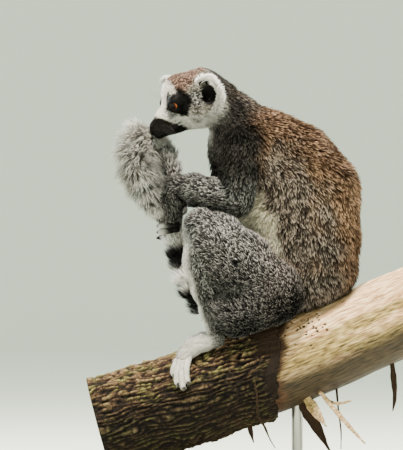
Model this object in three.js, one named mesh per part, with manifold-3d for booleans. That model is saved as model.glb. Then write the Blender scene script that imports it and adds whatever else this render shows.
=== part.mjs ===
// Ring-tailed lemur sitting on a short cut length of branch, holding its own tail up to its mouth, on a
// plain display stand. Life size, in millimetres, +Z up. The animal faces -X and its left side is -Y.
// The origin is on the underside of the stand's base, at its middle.
//
// Every solid reaches out to the tips of the coat. Shapes are worked out in the seat frame, whose origin is
// on the branch's own axis, and the group at the end lifts the whole display onto the stand.
import * as THREE from "three";
import { mergeVertices } from "three/addons/utils/BufferGeometryUtils.js";
import Module from "manifold-3d";

const wasm = await Module();
wasm.setup();

// ---- Driving dimensions ----
const GAP = 0.5; // clearance between neighbouring pieces
const BARK_GAP = 1.25; // and between the bark and its wood
const FILLET = 14; // how softly limbs run into the trunk
const REACH = 5; // how much of a fillet a limb keeps
const SHORTEST_EDGE = 0.3;
const NEEDLE = 0.03; // height of the thinnest triangle
const TIDY_ROUNDS = 200;
// Size of the grid that each surface is meshed on.
const STEP = { head: 7.6, trunk: 19, neck: 14.5, thigh: 16, upper_arm: 13, tail_bend: 11 };
const DOME = { size: 0.72, height: 0.9 }; // the ring on a tube's rounded end, as shares of its radius

const BRANCH_RISE = 0.36; // slope of the branch's axis at the origin
const BRANCH_BEND = 0.0003; // how fast the slope grows, per mm
const BRANCH_START = -148; // in front of the feet
const BRANCH_END = 205; // behind the rump
const BARK_RADIUS = 52;
const WOOD_RADIUS = 49.5; // where the bark has come off
const WOOD_TAPER = 0.018;
const CORE_RADIUS = 45.5; // the wood under the bark
const BARK_EDGE = 48; // where the bark ends, at the height of the axis
const BARK_EDGE_LEAN = 0.35; // the bark reaches further along the top

const SEAT_HEIGHT = 132; // branch axis above the floor
const SEAT_SHIFT = -20; // puts the base under the middle of the weight
const BASE = { length: 300, width: 176, thickness: 16, corner: 22, bevel: 2 };
const ROD_RADIUS = 6;
const ROD_FRONT = -82;
const ROD_BACK = 66;
const ROD_SOCKET = 14; // depth of a rod in the wood
const ROD_SEAT = 4; // wood left under a rod in the base

const HEAD_CENTRE = new THREE.Vector3(-40, -2, 304.6);
const HEAD_PITCH = THREE.MathUtils.degToRad(28.2); // nose down
const HEAD_YAW = THREE.MathUtils.degToRad(16); // face turned to the animal's left
const EYE_RADIUS = 7.4;
const EAR = {
  length: 35,
  width: 37,
  thickness: 6,
  cup: 9, // depth of the hollow
  widest: 0.35, // share of the length from the root
  across: 6, // faces
  along: 5,
};
// Root, way to the tip and way the hollow faces, in the head's frame of forward, left and up. The left ear
// is turned back and out, the right one forward.
const EAR_LEFT = [[1.5, 21, -5], [-0.43, 0.47, 0.77], [0.7, 0.66, 0]];
const EAR_RIGHT = [[0, -20, 15], [0.45, -0.8, 0.4], [0.8, 0.1, -0.5]];

// ---- Colours of the plain solids ----
const COLOURS = {
  back_fur: ["#7d5f4b", 0.95],
  grey_fur: ["#77736f", 0.95],
  pale_fur: ["#cfcac2", 0.95],
  dark_fur: ["#2b2725", 0.95],
  eye: ["#b4560f", 0.15],
  bark: ["#4d4132", 0.95],
  bare_wood: ["#b3946a", 0.8],
  stand_wood: ["#3b2a20", 0.45],
  stand_metal: ["#a8a39a", 0.35],
};
const materials = Object.fromEntries(
  Object.entries(COLOURS).map(([name, [color, roughness]]) => [
    name,
    new THREE.MeshStandardMaterial({ name, color, roughness, metalness: name === "stand_metal" ? 0.9 : 0 }),
  ]),
);

// ---- Distance fields ----
// A joint is a point on a limb's centre line with the radius there. wide scales the radius across the body.
function joint(x, y, z, radius, wide = 1) {
  return { at: new THREE.Vector3(x, y, z), radius, wide };
}

function mirrored(joints) {
  return joints.map(({ at, radius, wide }) => joint(at.x, -at.y, at.z, radius, wide));
}

// Distance from p to the tapered length between two joints.
function lengthDistance(p, a, b) {
  const span = new THREE.Vector3().subVectors(b.at, a.at);
  const offset = new THREE.Vector3().subVectors(p, a.at);
  const t = THREE.MathUtils.clamp(offset.dot(span) / span.lengthSq(), 0, 1);
  const radius = THREE.MathUtils.lerp(a.radius, b.radius, t);
  const wide = THREE.MathUtils.lerp(a.wide, b.wide, t);
  const away = offset.addScaledVector(span, -t);
  away.y /= wide;
  return (away.length() - radius) * Math.min(wide, 1);
}

function smoothMin(a, b, softness) {
  const h = Math.max(softness - Math.abs(a - b), 0) / softness;
  return Math.min(a, b) - (h * h * softness) / 4;
}

// Field of a limb that runs through its joints in order.
function limb(joints, softness = 6) {
  return (p) =>
    joints
      .slice(1)
      .map((next, i) => lengthDistance(p, joints[i], next))
      .reduce((a, b) => smoothMin(a, b, softness));
}

function blend(softness, ...fields) {
  return (p) => fields.map((field) => field(p)).reduce((a, b) => smoothMin(a, b, softness));
}

// ---- Surfaces ----
// Closed surface where the field is 0, by surface nets on a grid of the given step inside the box.
function surfaceOf(field, box, step) {
  const low = box.min.clone().subScalar(step * 1.5);
  const count = ["x", "y", "z"].map((axis) => Math.ceil((box.max[axis] - low[axis]) / step) + 3);
  const at = (i, j, k) => new THREE.Vector3(i, j, k).multiplyScalar(step).add(low);
  const index = (i, j, k) => (i * count[1] + j) * count[2] + k;
  const values = new Float64Array(count[0] * count[1] * count[2]).fill(1);
  for (let i = 1; i < count[0] - 1; i++)
    for (let j = 1; j < count[1] - 1; j++)
      for (let k = 1; k < count[2] - 1; k++) values[index(i, j, k)] = field(at(i, j, k));

  const corners = [...Array(8).keys()].map((n) => [n >> 2, (n >> 1) & 1, n & 1]);
  const edges = corners.flatMap((a, m) =>
    corners
      .slice(m + 1)
      .filter((b) => a.reduce((sum, v, axis) => sum + Math.abs(v - b[axis]), 0) === 1)
      .map((b) => [a, b]),
  );
  const vertexOf = new Map();
  const positions = [];
  for (let i = 0; i < count[0] - 1; i++)
    for (let j = 0; j < count[1] - 1; j++)
      for (let k = 0; k < count[2] - 1; k++) {
        const sum = new THREE.Vector3();
        let crossings = 0;
        for (const [a, b] of edges) {
          const va = values[index(i + a[0], j + a[1], k + a[2])];
          const vb = values[index(i + b[0], j + b[1], k + b[2])];
          if (va < 0 === vb < 0) continue;
          const pa = at(i + a[0], j + a[1], k + a[2]);
          sum.add(pa.lerp(at(i + b[0], j + b[1], k + b[2]), va / (va - vb)));
          crossings++;
        }
        if (!crossings) continue;
        vertexOf.set(index(i, j, k), positions.length / 3);
        positions.push(...sum.divideScalar(crossings).toArray());
      }

  const triangles = [];
  const vertex = (n) => new THREE.Vector3().fromArray(positions, 3 * n);
  for (let i = 1; i < count[0] - 1; i++)
    for (let j = 1; j < count[1] - 1; j++)
      for (let k = 1; k < count[2] - 1; k++)
        for (let axis = 0; axis < 3; axis++) {
          const cell = [i, j, k];
          const step1 = [0, 0, 0].fill(1, (axis + 1) % 3, ((axis + 1) % 3) + 1);
          const step2 = [0, 0, 0].fill(1, (axis + 2) % 3, ((axis + 2) % 3) + 1);
          const next = cell.map((v, n) => v + (n === axis ? 1 : 0));
          const inside = values[index(...cell)] < 0;
          if (inside === values[index(...next)] < 0) continue;
          const back = (u, v) => vertexOf.get(index(...cell.map((c, n) => c - u * step1[n] - v * step2[n])));
          const quad = [back(1, 1), back(0, 1), back(0, 0), back(1, 0)];
          if (!inside) quad.reverse();
          const [a, b, c, d] = quad;
          const short = vertex(a).distanceTo(vertex(c)) < vertex(b).distanceTo(vertex(d));
          triangles.push(...(short ? [a, b, c, a, c, d] : [a, b, d, b, c, d]));
        }
  return geometryOf(positions, triangles);
}

function geometryOf(positions, triangles) {
  return new THREE.BufferGeometry()
    .setAttribute("position", new THREE.Float32BufferAttribute(positions, 3))
    .setIndex(triangles);
}

// Closed tube of round section through the joints, with domed ends.
function tube(joints, sides, steps = joints.length * 2) {
  const curve = new THREE.CatmullRomCurve3(joints.map((j) => j.at), false, "centripetal");
  const frames = curve.computeFrenetFrames(steps, false);
  const radiusAt = (u) => {
    const place = u * (joints.length - 1);
    const i = Math.min(Math.floor(place), joints.length - 2);
    return THREE.MathUtils.lerp(joints[i].radius, joints[i + 1].radius, place - i);
  };
  const rings = [];
  const ring = (n, size, push) => {
    const centre = curve.getPoint(n / steps).addScaledVector(frames.tangents[n], push);
    rings.push({ centre, size, n });
  };
  const dome = (n, sign) => {
    const height = DOME.height * radiusAt(n / steps) * Math.sqrt(1 - DOME.size ** 2);
    ring(n, DOME.size * radiusAt(n / steps), sign * height);
  };
  dome(0, -1);
  for (let n = 0; n <= steps; n++) ring(n, radiusAt(n / steps), 0);
  dome(steps, 1);

  const positions = [];
  for (const { centre, size, n } of rings)
    for (let s = 0; s < sides; s++) {
      const turn = (s / sides) * 2 * Math.PI;
      const p = centre.clone();
      p.addScaledVector(frames.normals[n], size * Math.cos(turn));
      p.addScaledVector(frames.binormals[n], size * Math.sin(turn));
      positions.push(...p.toArray());
    }
  const tips = [0, steps].map((n, end) => {
    const push = DOME.height * radiusAt(n / steps) * (end ? 1 : -1);
    positions.push(...curve.getPoint(n / steps).addScaledVector(frames.tangents[n], push).toArray());
    return positions.length / 3 - 1;
  });
  const triangles = [];
  for (let r = 0; r < rings.length - 1; r++)
    for (let s = 0; s < sides; s++) {
      const a = r * sides + s;
      const b = r * sides + ((s + 1) % sides);
      triangles.push(a, b, b + sides, a, b + sides, a + sides);
    }
  const last = (rings.length - 1) * sides;
  for (let s = 0; s < sides; s++) {
    triangles.push(tips[0], (s + 1) % sides, s);
    triangles.push(tips[1], last + s, last + ((s + 1) % sides));
  }
  return geometryOf(positions, triangles);
}

// ---- Solids ----
function weld(geometry) {
  const bare = geometry.clone();
  ["normal", "uv"].forEach((name) => bare.deleteAttribute(name));
  return mergeVertices(bare, 1e-4);
}

function solidOf(geometry) {
  const { attributes, index } = weld(geometry);
  const mesh = new wasm.Mesh({
    numProp: 3,
    vertProperties: new Float32Array(attributes.position.array),
    triVerts: new Uint32Array(index.array),
  });
  return new wasm.Manifold(mesh);
}

// The same surface moved outwards by the gap, to cut a neighbour with.
function knifeOf(geometry) {
  const grown = weld(geometry);
  grown.computeVertexNormals();
  const { position, normal } = grown.attributes;
  for (let i = 0; i < position.count; i++) {
    const p = new THREE.Vector3().fromBufferAttribute(position, i);
    p.addScaledVector(new THREE.Vector3().fromBufferAttribute(normal, i), GAP);
    position.setXYZ(i, ...p.toArray());
  }
  return solidOf(grown);
}

const joined = (solids) => solids.reduce((a, b) => a.add(b));
const largest = (solid) => solid.decompose().sort((a, b) => b.volume() - a.volume())[0];
const boxesMeet = (a, b) =>
  [0, 1, 2].every((i) => a.min[i] < b.max[i] && b.min[i] < a.max[i]);

// ---- Branch and stand ----
const axisHeight = (x) => BRANCH_RISE * x + BRANCH_BEND * x * x;

// The point at the given offset up and to the right from the branch's axis, in the plane square to it at x.
function fromAxis(x, right, up) {
  const outward = new THREE.Vector3(-BRANCH_RISE - 2 * BRANCH_BEND * x, 0, 1).normalize();
  return new THREE.Vector3(x, right, axisHeight(x)).addScaledVector(outward, up);
}

// A place on the branch: x along it, round from the top towards the animal's left in degrees, and up from
// the bark.
function onBranch(x, round, height) {
  const turn = THREE.MathUtils.degToRad(round);
  const out = BARK_RADIUS + height;
  return fromAxis(x, -out * Math.sin(turn), out * Math.cos(turn));
}

// Round length of the branch between two places on its axis.
function branchLength(start, end, radius, taper = 0, sides = 16, rings = 4) {
  const profile = [new THREE.Vector2(0, start)];
  for (let n = 0; n <= rings; n++) {
    const x = THREE.MathUtils.lerp(start, end, n / rings);
    profile.push(new THREE.Vector2(radius - taper * Math.max(x, 0), x));
  }
  profile.push(new THREE.Vector2(0, end));
  const geometry = new THREE.LatheGeometry(profile, sides);
  const { position } = geometry.attributes;
  for (let i = 0; i < position.count; i++) {
    const bent = fromAxis(position.getY(i), -position.getX(i), position.getZ(i));
    position.setXYZ(i, ...bent.toArray());
  }
  return geometry;
}

// Half space behind the edge where the bark ends.
function behindBarkEdge(shift) {
  const size = 400;
  const block = new THREE.BoxGeometry(size, size, size);
  block.translate(size / 2, 0, 0);
  block.rotateY(Math.atan(BARK_EDGE_LEAN));
  return solidOf(block.translate(BARK_EDGE + shift, 0, axisHeight(BARK_EDGE)));
}

function woodSolid() {
  const core = solidOf(branchLength(BRANCH_START, BRANCH_END - 1, CORE_RADIUS));
  const bare = solidOf(branchLength(BRANCH_START, BRANCH_END, WOOD_RADIUS, WOOD_TAPER));
  return core.add(bare.intersect(behindBarkEdge(0)));
}

function barkSolid() {
  const outer = solidOf(branchLength(BRANCH_START - 1, BRANCH_END, BARK_RADIUS));
  const bore = solidOf(branchLength(BRANCH_START - 20, BRANCH_END + 20, CORE_RADIUS + BARK_GAP));
  return outer.subtract(bore).subtract(behindBarkEdge(-BARK_GAP));
}

// The branch's outside moved outwards by the gap, to cut what sits on it.
function branchKnife() {
  const bark = solidOf(branchLength(BRANCH_START - 9, BRANCH_END + 9, BARK_RADIUS + GAP));
  const bare = solidOf(branchLength(BRANCH_START - 9, BRANCH_END + 9, WOOD_RADIUS + GAP, WOOD_TAPER));
  return bark.subtract(behindBarkEdge(GAP)).add(bare);
}

function baseGeometry() {
  const { length, width, thickness, corner, bevel } = BASE;
  const outline = new THREE.Shape();
  const x = length / 2 - bevel;
  const y = width / 2 - bevel;
  outline.absarc(x - corner, y - corner, corner, 0, Math.PI / 2);
  outline.absarc(corner - x, y - corner, corner, Math.PI / 2, Math.PI);
  outline.absarc(corner - x, corner - y, corner, Math.PI, 1.5 * Math.PI);
  outline.absarc(x - corner, corner - y, corner, 1.5 * Math.PI, 2 * Math.PI);
  return new THREE.ExtrudeGeometry(outline, {
    depth: thickness - 2 * bevel,
    bevelThickness: bevel,
    bevelSize: bevel,
    bevelSegments: 1,
    curveSegments: 3,
  }).translate(-SEAT_SHIFT, 0, bevel - SEAT_HEIGHT);
}

// A rod stands in the base and ends inside the wood.
function rodGeometry(x) {
  const underside = axisHeight(x) - CORE_RADIUS;
  const bottom = ROD_SEAT - SEAT_HEIGHT;
  const top = underside + ROD_SOCKET;
  const rod = new THREE.CylinderGeometry(ROD_RADIUS, ROD_RADIUS, top - bottom, 16);
  return rod.rotateX(Math.PI / 2).translate(x, 0, (top + bottom) / 2);
}

// ---- Trunk and neck ----
const SPINE = {
  rump: joint(87.5, 0, 126, 45, 1.02),
  loin: joint(85.5, 0, 159.8, 50.5, 1.0),
  waist: joint(77, 0, 201, 58.5, 0.87),
  ribs: joint(57, 0, 228, 54.5, 0.86),
  chest: joint(26.5, 0, 250.5, 46.5, 0.9),
  withers: joint(6.5, 0, 267.8, 34.5, 0.95),
  nape: joint(-4.3, 0, 285, 28.5, 0.95),
  occiput: joint(-19.4, 0, 302.4, 25, 0.95),
};
const BREAST = [joint(-2.2, 0, 248.4, 30, 0.85), joint(2, 0, 209.5, 29, 0.9)];
const BELLY = [joint(54, 0, 167.4, 45, 0.9), joint(62, 0, 122, 46, 0.95)];

const { rump, loin, waist, ribs, chest, withers, nape, occiput } = SPINE;
const trunkField = blend(
  FILLET,
  limb([rump, loin, waist, ribs, chest, withers], 10),
  limb(BREAST),
  limb(BELLY),
);
const neckField = limb([withers, nape, occiput], 8);

// ---- Arms and legs, the left ones; the right ones are their mirror images ----
const UPPER_ARM = [
  joint(7.6, -27, 256, 25, 0.95),
  joint(4.3, -34, 227, 23, 0.9),
  joint(3.2, -39, 207, 18),
  joint(2, -40, 195.5, 16),
];
const FOREARM = [
  joint(2, -40, 195.5, 16),
  joint(-22.7, -38, 203, 17.5),
  joint(-44.3, -31, 209, 16),
  joint(-60.5, -25, 211.7, 12.5),
];
const THIGH = [
  joint(34, -42, 100, 36, 0.8),
  joint(3.2, -47, 127.4, 38, 0.74),
  joint(-19.4, -47, 154.4, 30, 0.8),
  joint(-35.6, -45, 168.5, 20.5, 0.95),
];
const HAM = [joint(40, -38, 98, 34, 0.8), joint(2, -41, 80, 30, 0.8)];
const SHANK = [
  joint(-38.9, -45, 165, 20.5),
  joint(-36.7, -43, 131.8, 22, 0.9),
  joint(-32.5, -40, 103, 17.5, 0.95),
  joint(-27, -37, 80, 13),
  joint(-23, -34, 58, 10),
];

// Hand hanging from the wrist, its fingers closed round the tail in front of the palm.
function handJoints() {
  const palm = [joint(-64, -24, 208, 11), joint(-66, -22, 196, 11), joint(-66, -19, 182, 10)];
  const fingers = [0, 1, 2, 3].map((n) => {
    const z = 184 - 6.4 * n;
    return [
      joint(-60, -15, z + 1, 4.6),
      joint(-70, -19.5, z - 1, 4.3),
      joint(-79, -15, z - 2, 3.9),
      joint(-83, -5, z - 2, 3.3),
    ];
  });
  const thumb = [joint(-64, -12, 196, 5), joint(-56, 2, 192, 4.4), joint(-60, 13, 188, 3.6)];
  return { palm, fingers, thumb };
}

// Foot along the branch's left upper side, with the toes bent down round it and the big toe over the top.
function footJoints() {
  const place = (along, round, height, radius) => {
    const at = onBranch(along, round, height);
    return joint(at.x, at.y, at.z, radius);
  };
  const sole = [
    place(-4, 34, 10, 10),
    place(-17, 31, 10, 10),
    place(-30, 32, 9, 9.5),
    place(-41, 38, 8, 8.5),
  ];
  const TOES = [
    { base: -49, tip: -57, reach: 60 },
    { base: -46, tip: -56, reach: 71 },
    { base: -42, tip: -52, reach: 77 },
    { base: -37, tip: -46, reach: 73 },
  ];
  const toes = TOES.map(({ base, tip, reach }) => [
    place(base, 41, 6, 5.2),
    place((base + tip) / 2 - 2, (41 + reach) / 2, 6, 4.8),
    place(tip, reach - 6, 4.4, 4.2),
    place(tip, reach, 3.6, 3.4),
  ]);
  const bigToe = [place(-20, 24, 7, 6.5), place(-28, 3, 6.2, 6), place(-32, -16, 4.8, 4.4)];
  return { sole, toes, bigToe };
}

// Both hands hold the tail, the right one a little lower.
const RIGHT_HAND_RISE = -6;

const raised = (joints, reach = () => 1) =>
  joints.map(({ at, radius, wide }, i) =>
    joint(at.x, at.y, at.z + RIGHT_HAND_RISE * reach(i / (joints.length - 1)), radius, wide),
  );

const inAll = (change) => (parts) =>
  Object.fromEntries(
    Object.entries(parts).map(([name, list]) => [
      name,
      Array.isArray(list[0]) ? list.map((joints) => change(joints)) : change(list),
    ]),
  );
const mirroredAll = inAll(mirrored);
const raisedAll = inAll((joints) => raised(joints));

// ---- Head ----
const headForward = new THREE.Vector3(
  -Math.cos(HEAD_PITCH) * Math.cos(HEAD_YAW),
  -Math.cos(HEAD_PITCH) * Math.sin(HEAD_YAW),
  -Math.sin(HEAD_PITCH),
);
const headLeft = new THREE.Vector3(Math.sin(HEAD_YAW), -Math.cos(HEAD_YAW), 0);
const headUp = new THREE.Vector3().crossVectors(headForward, headLeft);
const headFrame = new THREE.Matrix4()
  .makeBasis(headForward, headLeft, headUp)
  .setPosition(HEAD_CENTRE);
const intoHead = headFrame.clone().invert();

// In the head's own frame: forward, left, up.
const SKULL = [joint(-4, 0, 5, 29.5), joint(14, 0, 13.5, 24)];
const FACE = [joint(12, 0, 4, 24), joint(37, 0, -2, 15.5, 0.84), joint(54.5, 0, -4.5, 9.8, 0.82)];
const JAW = [joint(10, 0, -15, 15.5), joint(36, 0, -11, 7.8, 0.95), joint(55, 0, -9.5, 6.6, 0.95)];
const CHEEK = [joint(-8, 15, -6, 18.5), joint(10, 14.5, -9, 17)];
const EYE_AT = [28.8, 15.6, 11.3];

const headField = (() => {
  const own = blend(7, limb(SKULL), limb(FACE, 8), limb(JAW), limb(CHEEK), limb(mirrored(CHEEK)));
  return (p) => own(p.clone().applyMatrix4(intoHead));
})();

function eyeGeometry(side) {
  const [forward, left, up] = EYE_AT;
  const eye = new THREE.SphereGeometry(EYE_RADIUS, 8, 6);
  return eye.translate(forward, side * left, up).applyMatrix4(headFrame);
}

// Cupped ear: a rounded leaf that is thin at the rim, hollow towards its opening. root, tip (the way from
// the root to the tip) and opening are in the head's frame.
function earGeometry(root, tip, opening) {
  const { length, width, thickness, cup, widest, across, along } = EAR;
  const positions = [];
  const leaf = (side) => {
    for (let i = 0; i <= along; i++)
      for (let j = 0; j <= across; j++) {
        const u = i / along; // 0 at the root
        const v = (2 * j) / across - 1; // 0 in the middle
        const round = 1 - ((u - widest) / (1 - widest)) ** 2;
        const half = (width / 2) * Math.sqrt(Math.max(round, 0.05));
        const thinned = Math.min(1, 1.25 - 0.9 * Math.abs(v) ** 3, 1.6 - u);
        const hollow = cup * (v * v - 1) * (1 - 0.5 * u);
        positions.push(v * half, hollow + (side * thickness * thinned) / 2, u * length);
      }
  };
  leaf(1);
  leaf(-1);
  const row = across + 1;
  const layerSize = row * (along + 1);
  const triangles = [];
  for (let i = 0; i < along; i++)
    for (let j = 0; j < across; j++) {
      const a = i * row + j;
      const [p, q, r, s] = [a, a + 1, a + row + 1, a + row];
      triangles.push(p, r, q, p, s, r);
      triangles.push(...[p, q, r, p, r, s].map((n) => n + layerSize));
    }
  const border = [
    ...[...Array(across).keys()],
    ...[...Array(along).keys()].map((i) => i * row + across),
    ...[...Array(across).keys()].map((j) => along * row + across - j),
    ...[...Array(along).keys()].map((i) => (along - i) * row),
  ];
  border.forEach((a, n) => {
    const b = border[(n + 1) % border.length];
    triangles.push(a, b, b + layerSize, a, b + layerSize, a + layerSize);
  });
  const geometry = geometryOf(positions, triangles);
  const axis = new THREE.Vector3(...tip).normalize();
  const hollow = new THREE.Vector3(...opening);
  hollow.addScaledVector(axis, -hollow.dot(axis)).normalize();
  const breadth = new THREE.Vector3().crossVectors(hollow, axis);
  const place = new THREE.Matrix4().makeBasis(breadth, hollow, axis).setPosition(...root);
  return geometry.applyMatrix4(place).applyMatrix4(headFrame);
}

// ---- Tail ----
// From the rump forwards along the branch between the legs, up in front of the shins, through the hands,
// over at the mouth and down again to the black tip.
const TAIL = [
  joint(96, 0, 104, 17),
  joint(66, 0, 96, 15),
  joint(32, 0, 84.5, 15),
  joint(4, 0, 77, 16),
  joint(-16, 0, 78, 16),
  joint(-32, 0, 86, 16),
  joint(-41, 0, 97, 16.5),
  joint(-49, 0, 110, 16),
  joint(-54, 0, 123, 15.5),
  joint(-58.5, 0, 137, 14.5),
  joint(-65, 0, 153, 13),
  joint(-70, 0, 169, 12),
  joint(-71, 0, 190, 11.5),
  joint(-70, 1, 208, 12),
  joint(-72, 3, 226, 12.5),
  joint(-76, 5, 241, 13.5),
  joint(-83, 5, 253.5, 13),
  joint(-92, 2, 261, 16),
  joint(-102.6, -3, 260, 23.5),
  joint(-107, -9, 244, 23.5),
  joint(-104.5, -13, 228, 22),
  joint(-98.5, -15, 213, 19),
  joint(-91.5, -17, 201, 14.5),
  joint(-86.5, -18, 189, 11),
  joint(-81, -19, 177, 6),
];
// Nodes of the tail and the last joint of each.
const TAIL_LENGTHS = { tail_root: 4, tail_front: 10, tail_held: 15, tail_bend: 19, tail_tip: 24 };

// The bend at the mouth is too tight for a tube, so it comes from its field.
function tailGeometries() {
  const ends = [0, ...Object.values(TAIL_LENGTHS)];
  return Object.keys(TAIL_LENGTHS).map((name, n) => {
    const joints = TAIL.slice(ends[n], ends[n + 1] + 1);
    if (name === "tail_bend") return surfaceOf(limb(joints), boxOf(joints, 2), STEP.tail_bend);
    return tube(joints, 8, joints.length);
  });
}

// ---- Fields of the whole body, so that limbs run softly into it ----
const sideFields = (joints) => [limb(joints), limb(mirrored(joints))];
const bodyField = blend(
  FILLET,
  trunkField,
  neckField,
  headField,
  ...[UPPER_ARM, THIGH, HAM].flatMap(sideFields),
);

function boxOf(joints, margin) {
  const box = new THREE.Box3();
  joints.forEach(({ at, radius, wide }) =>
    box.expandByPoint(at.clone().subScalar(radius * Math.max(wide, 1))).expandByPoint(
      at.clone().addScalar(radius * Math.max(wide, 1)),
    ),
  );
  return box.expandByScalar(margin);
}

// A part of the body: what the whole body's field holds close to the part's own field.
function bodyPart(field, box, step) {
  return surfaceOf((p) => Math.max(bodyField(p), field(p) - REACH), box, step);
}

function handGeometries({ palm, fingers, thumb }) {
  return [tube(palm, 6, 3), tube(thumb, 5, 3), ...fingers.map((f) => tube(f, 5, 3))];
}

function footGeometries({ sole, toes, bigToe }) {
  return [tube(sole, 6, 3), tube(bigToe, 5, 2), ...toes.map((t) => tube(t, 5, 3))];
}

// ---- All pieces, in the order in which they keep their shape where two would meet ----
// A piece is a name, a material and either its geometries or a solid with what it cuts, if it cuts.
const headBox = boxOf([...SKULL, ...FACE, ...JAW, ...CHEEK, ...mirrored(CHEEK)], 2);
const trunkBox = boxOf([...Object.values(SPINE).slice(0, 6), ...BREAST, ...BELLY], FILLET);
const neckBox = boxOf([withers, nape, occiput], REACH);
const pieces = [
  ["stand_base", "stand_wood", [baseGeometry()]],
  ["stand_rod_front", "stand_metal", [rodGeometry(ROD_FRONT)]],
  ["stand_rod_back", "stand_metal", [rodGeometry(ROD_BACK)]],
  ["perch_wood", "bare_wood", woodSolid()],
  ["perch_bark", "bark", barkSolid(), branchKnife()],
  ["eye_left", "eye", [eyeGeometry(1)]],
  ["eye_right", "eye", [eyeGeometry(-1)]],
  ["head", "pale_fur", [surfaceOf(headField, headBox.applyMatrix4(headFrame), STEP.head)]],
  ["trunk", "back_fur", [bodyPart(trunkField, trunkBox, STEP.trunk)]],
  ["neck", "grey_fur", [bodyPart(neckField, neckBox, STEP.neck)]],
];
for (const side of ["left", "right"]) {
  const turned = side === "left" ? (x) => x : mirrored;
  const hand = side === "left" ? handJoints() : raisedAll(mirroredAll(handJoints()));
  const foot = side === "left" ? footJoints() : mirroredAll(footJoints());
  const forearm = side === "left" ? FOREARM : raised(mirrored(FOREARM), (t) => t);
  const thigh = blend(8, limb(turned(THIGH)), limb(turned(HAM)));
  const thighBox = boxOf(turned([...THIGH, ...HAM]), FILLET);
  const armBox = boxOf(turned(UPPER_ARM), REACH);
  pieces.push(
    [`thigh_${side}`, "grey_fur", [bodyPart(thigh, thighBox, STEP.thigh)]],
    [`upper_arm_${side}`, "grey_fur", [bodyPart(limb(turned(UPPER_ARM)), armBox, STEP.upper_arm)]],
    [`hand_${side}`, "dark_fur", handGeometries(hand)],
    [`foot_${side}`, "pale_fur", footGeometries(foot)],
    [`forearm_${side}`, "grey_fur", [tube(forearm, 8, 4)]],
    [`shank_${side}`, "grey_fur", [tube(turned(SHANK), 8, 4)]],
  );
}
pieces.push(
  ["ear_left", "pale_fur", [earGeometry(...EAR_LEFT)]],
  ["ear_right", "pale_fur", [earGeometry(...EAR_RIGHT)]],
);
tailGeometries().forEach((geometry, n) => {
  const name = Object.keys(TAIL_LENGTHS)[n];
  pieces.push([name, name === "tail_tip" ? "dark_fur" : "pale_fur", [geometry]]);
});

// ---- Cutting and assembly ----
// Cuts leave very short edges and needle triangles along their rims. A short edge shrinks to a point, and
// a needle gives way by turning the edge that it lies on.
function tidyFaces(points, faces) {
  const neighbours = points.map(() => new Set());
  faces.forEach((face) =>
    face.forEach((a, i) => neighbours[a].add(face[(i + 1) % 3]).add(face[(i + 2) % 3])),
  );
  const shared = (a, b) => [...neighbours[a]].filter((c) => neighbours[b].has(c));
  for (let f = 0; f < faces.length; f++)
    for (let i = 0; i < 3; i++) {
      const [a, b, c] = [faces[f][i], faces[f][(i + 1) % 3], faces[f][(i + 2) % 3]];
      const length = points[a].distanceTo(points[b]);
      if (length < SHORTEST_EDGE && shared(a, b).length === 2) {
        const moved = faces.map((face) => face.map((v) => (v === b ? a : v)));
        return moved.filter((face) => new Set(face).size === 3);
      }
      const height = new THREE.Line3(points[a], points[b])
        .closestPointToPoint(points[c], true, new THREE.Vector3())
        .distanceTo(points[c]);
      if (height > NEEDLE) continue;
      const isBeyond = (face) => face.some((v, n) => v === b && face[(n + 1) % 3] === a);
      const beyond = faces.findIndex(isBeyond);
      const d = faces[beyond].find((v) => v !== a && v !== b);
      if (d === c || neighbours[c].has(d)) continue;
      const kept = faces.filter((_, n) => n !== f && n !== beyond);
      return [...kept, [a, d, c], [d, b, c]];
    }
  return null;
}

function meshOf(name, material, solid) {
  const { numProp, numVert, vertProperties, triVerts } = solid.getMesh();
  const points = [];
  for (let i = 0; i < numVert; i++) points.push(new THREE.Vector3().fromArray(vertProperties, i * numProp));
  let faces = [];
  for (let i = 0; i < triVerts.length; i += 3) faces.push([...triVerts.slice(i, i + 3)]);
  for (let round = 0; round < TIDY_ROUNDS; round++) {
    const next = tidyFaces(points, faces);
    if (!next) break;
    faces = next;
  }
  const used = [...new Set(faces.flat())];
  const place = new Map(used.map((v, n) => [v, n]));
  const positions = used.flatMap((v) => points[v].toArray());
  const triangles = faces.flat().map((v) => place.get(v));
  const mesh = new THREE.Mesh(geometryOf(positions, triangles), materials[material]);
  mesh.geometry.computeVertexNormals();
  mesh.name = name;
  return mesh;
}

const display = new THREE.Group();
display.position.set(SEAT_SHIFT, 0, SEAT_HEIGHT);
const knives = [];
for (const [name, material, shape, ownKnife] of pieces) {
  const geometries = Array.isArray(shape) ? shape : null;
  let solid = geometries ? joined(geometries.map(solidOf)) : shape;
  for (const knife of knives)
    if (boxesMeet(knife.boundingBox(), solid.boundingBox())) solid = solid.subtract(knife);
  if (geometries) knives.push(joined(geometries.map(knifeOf)));
  if (ownKnife) knives.push(ownKnife);
  display.add(meshOf(name, material, largest(solid)));
}

const lemur = new THREE.Group();
lemur.name = "ring_tailed_lemur_display";
lemur.add(display);

export default lemur;
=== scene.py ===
import math

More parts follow.
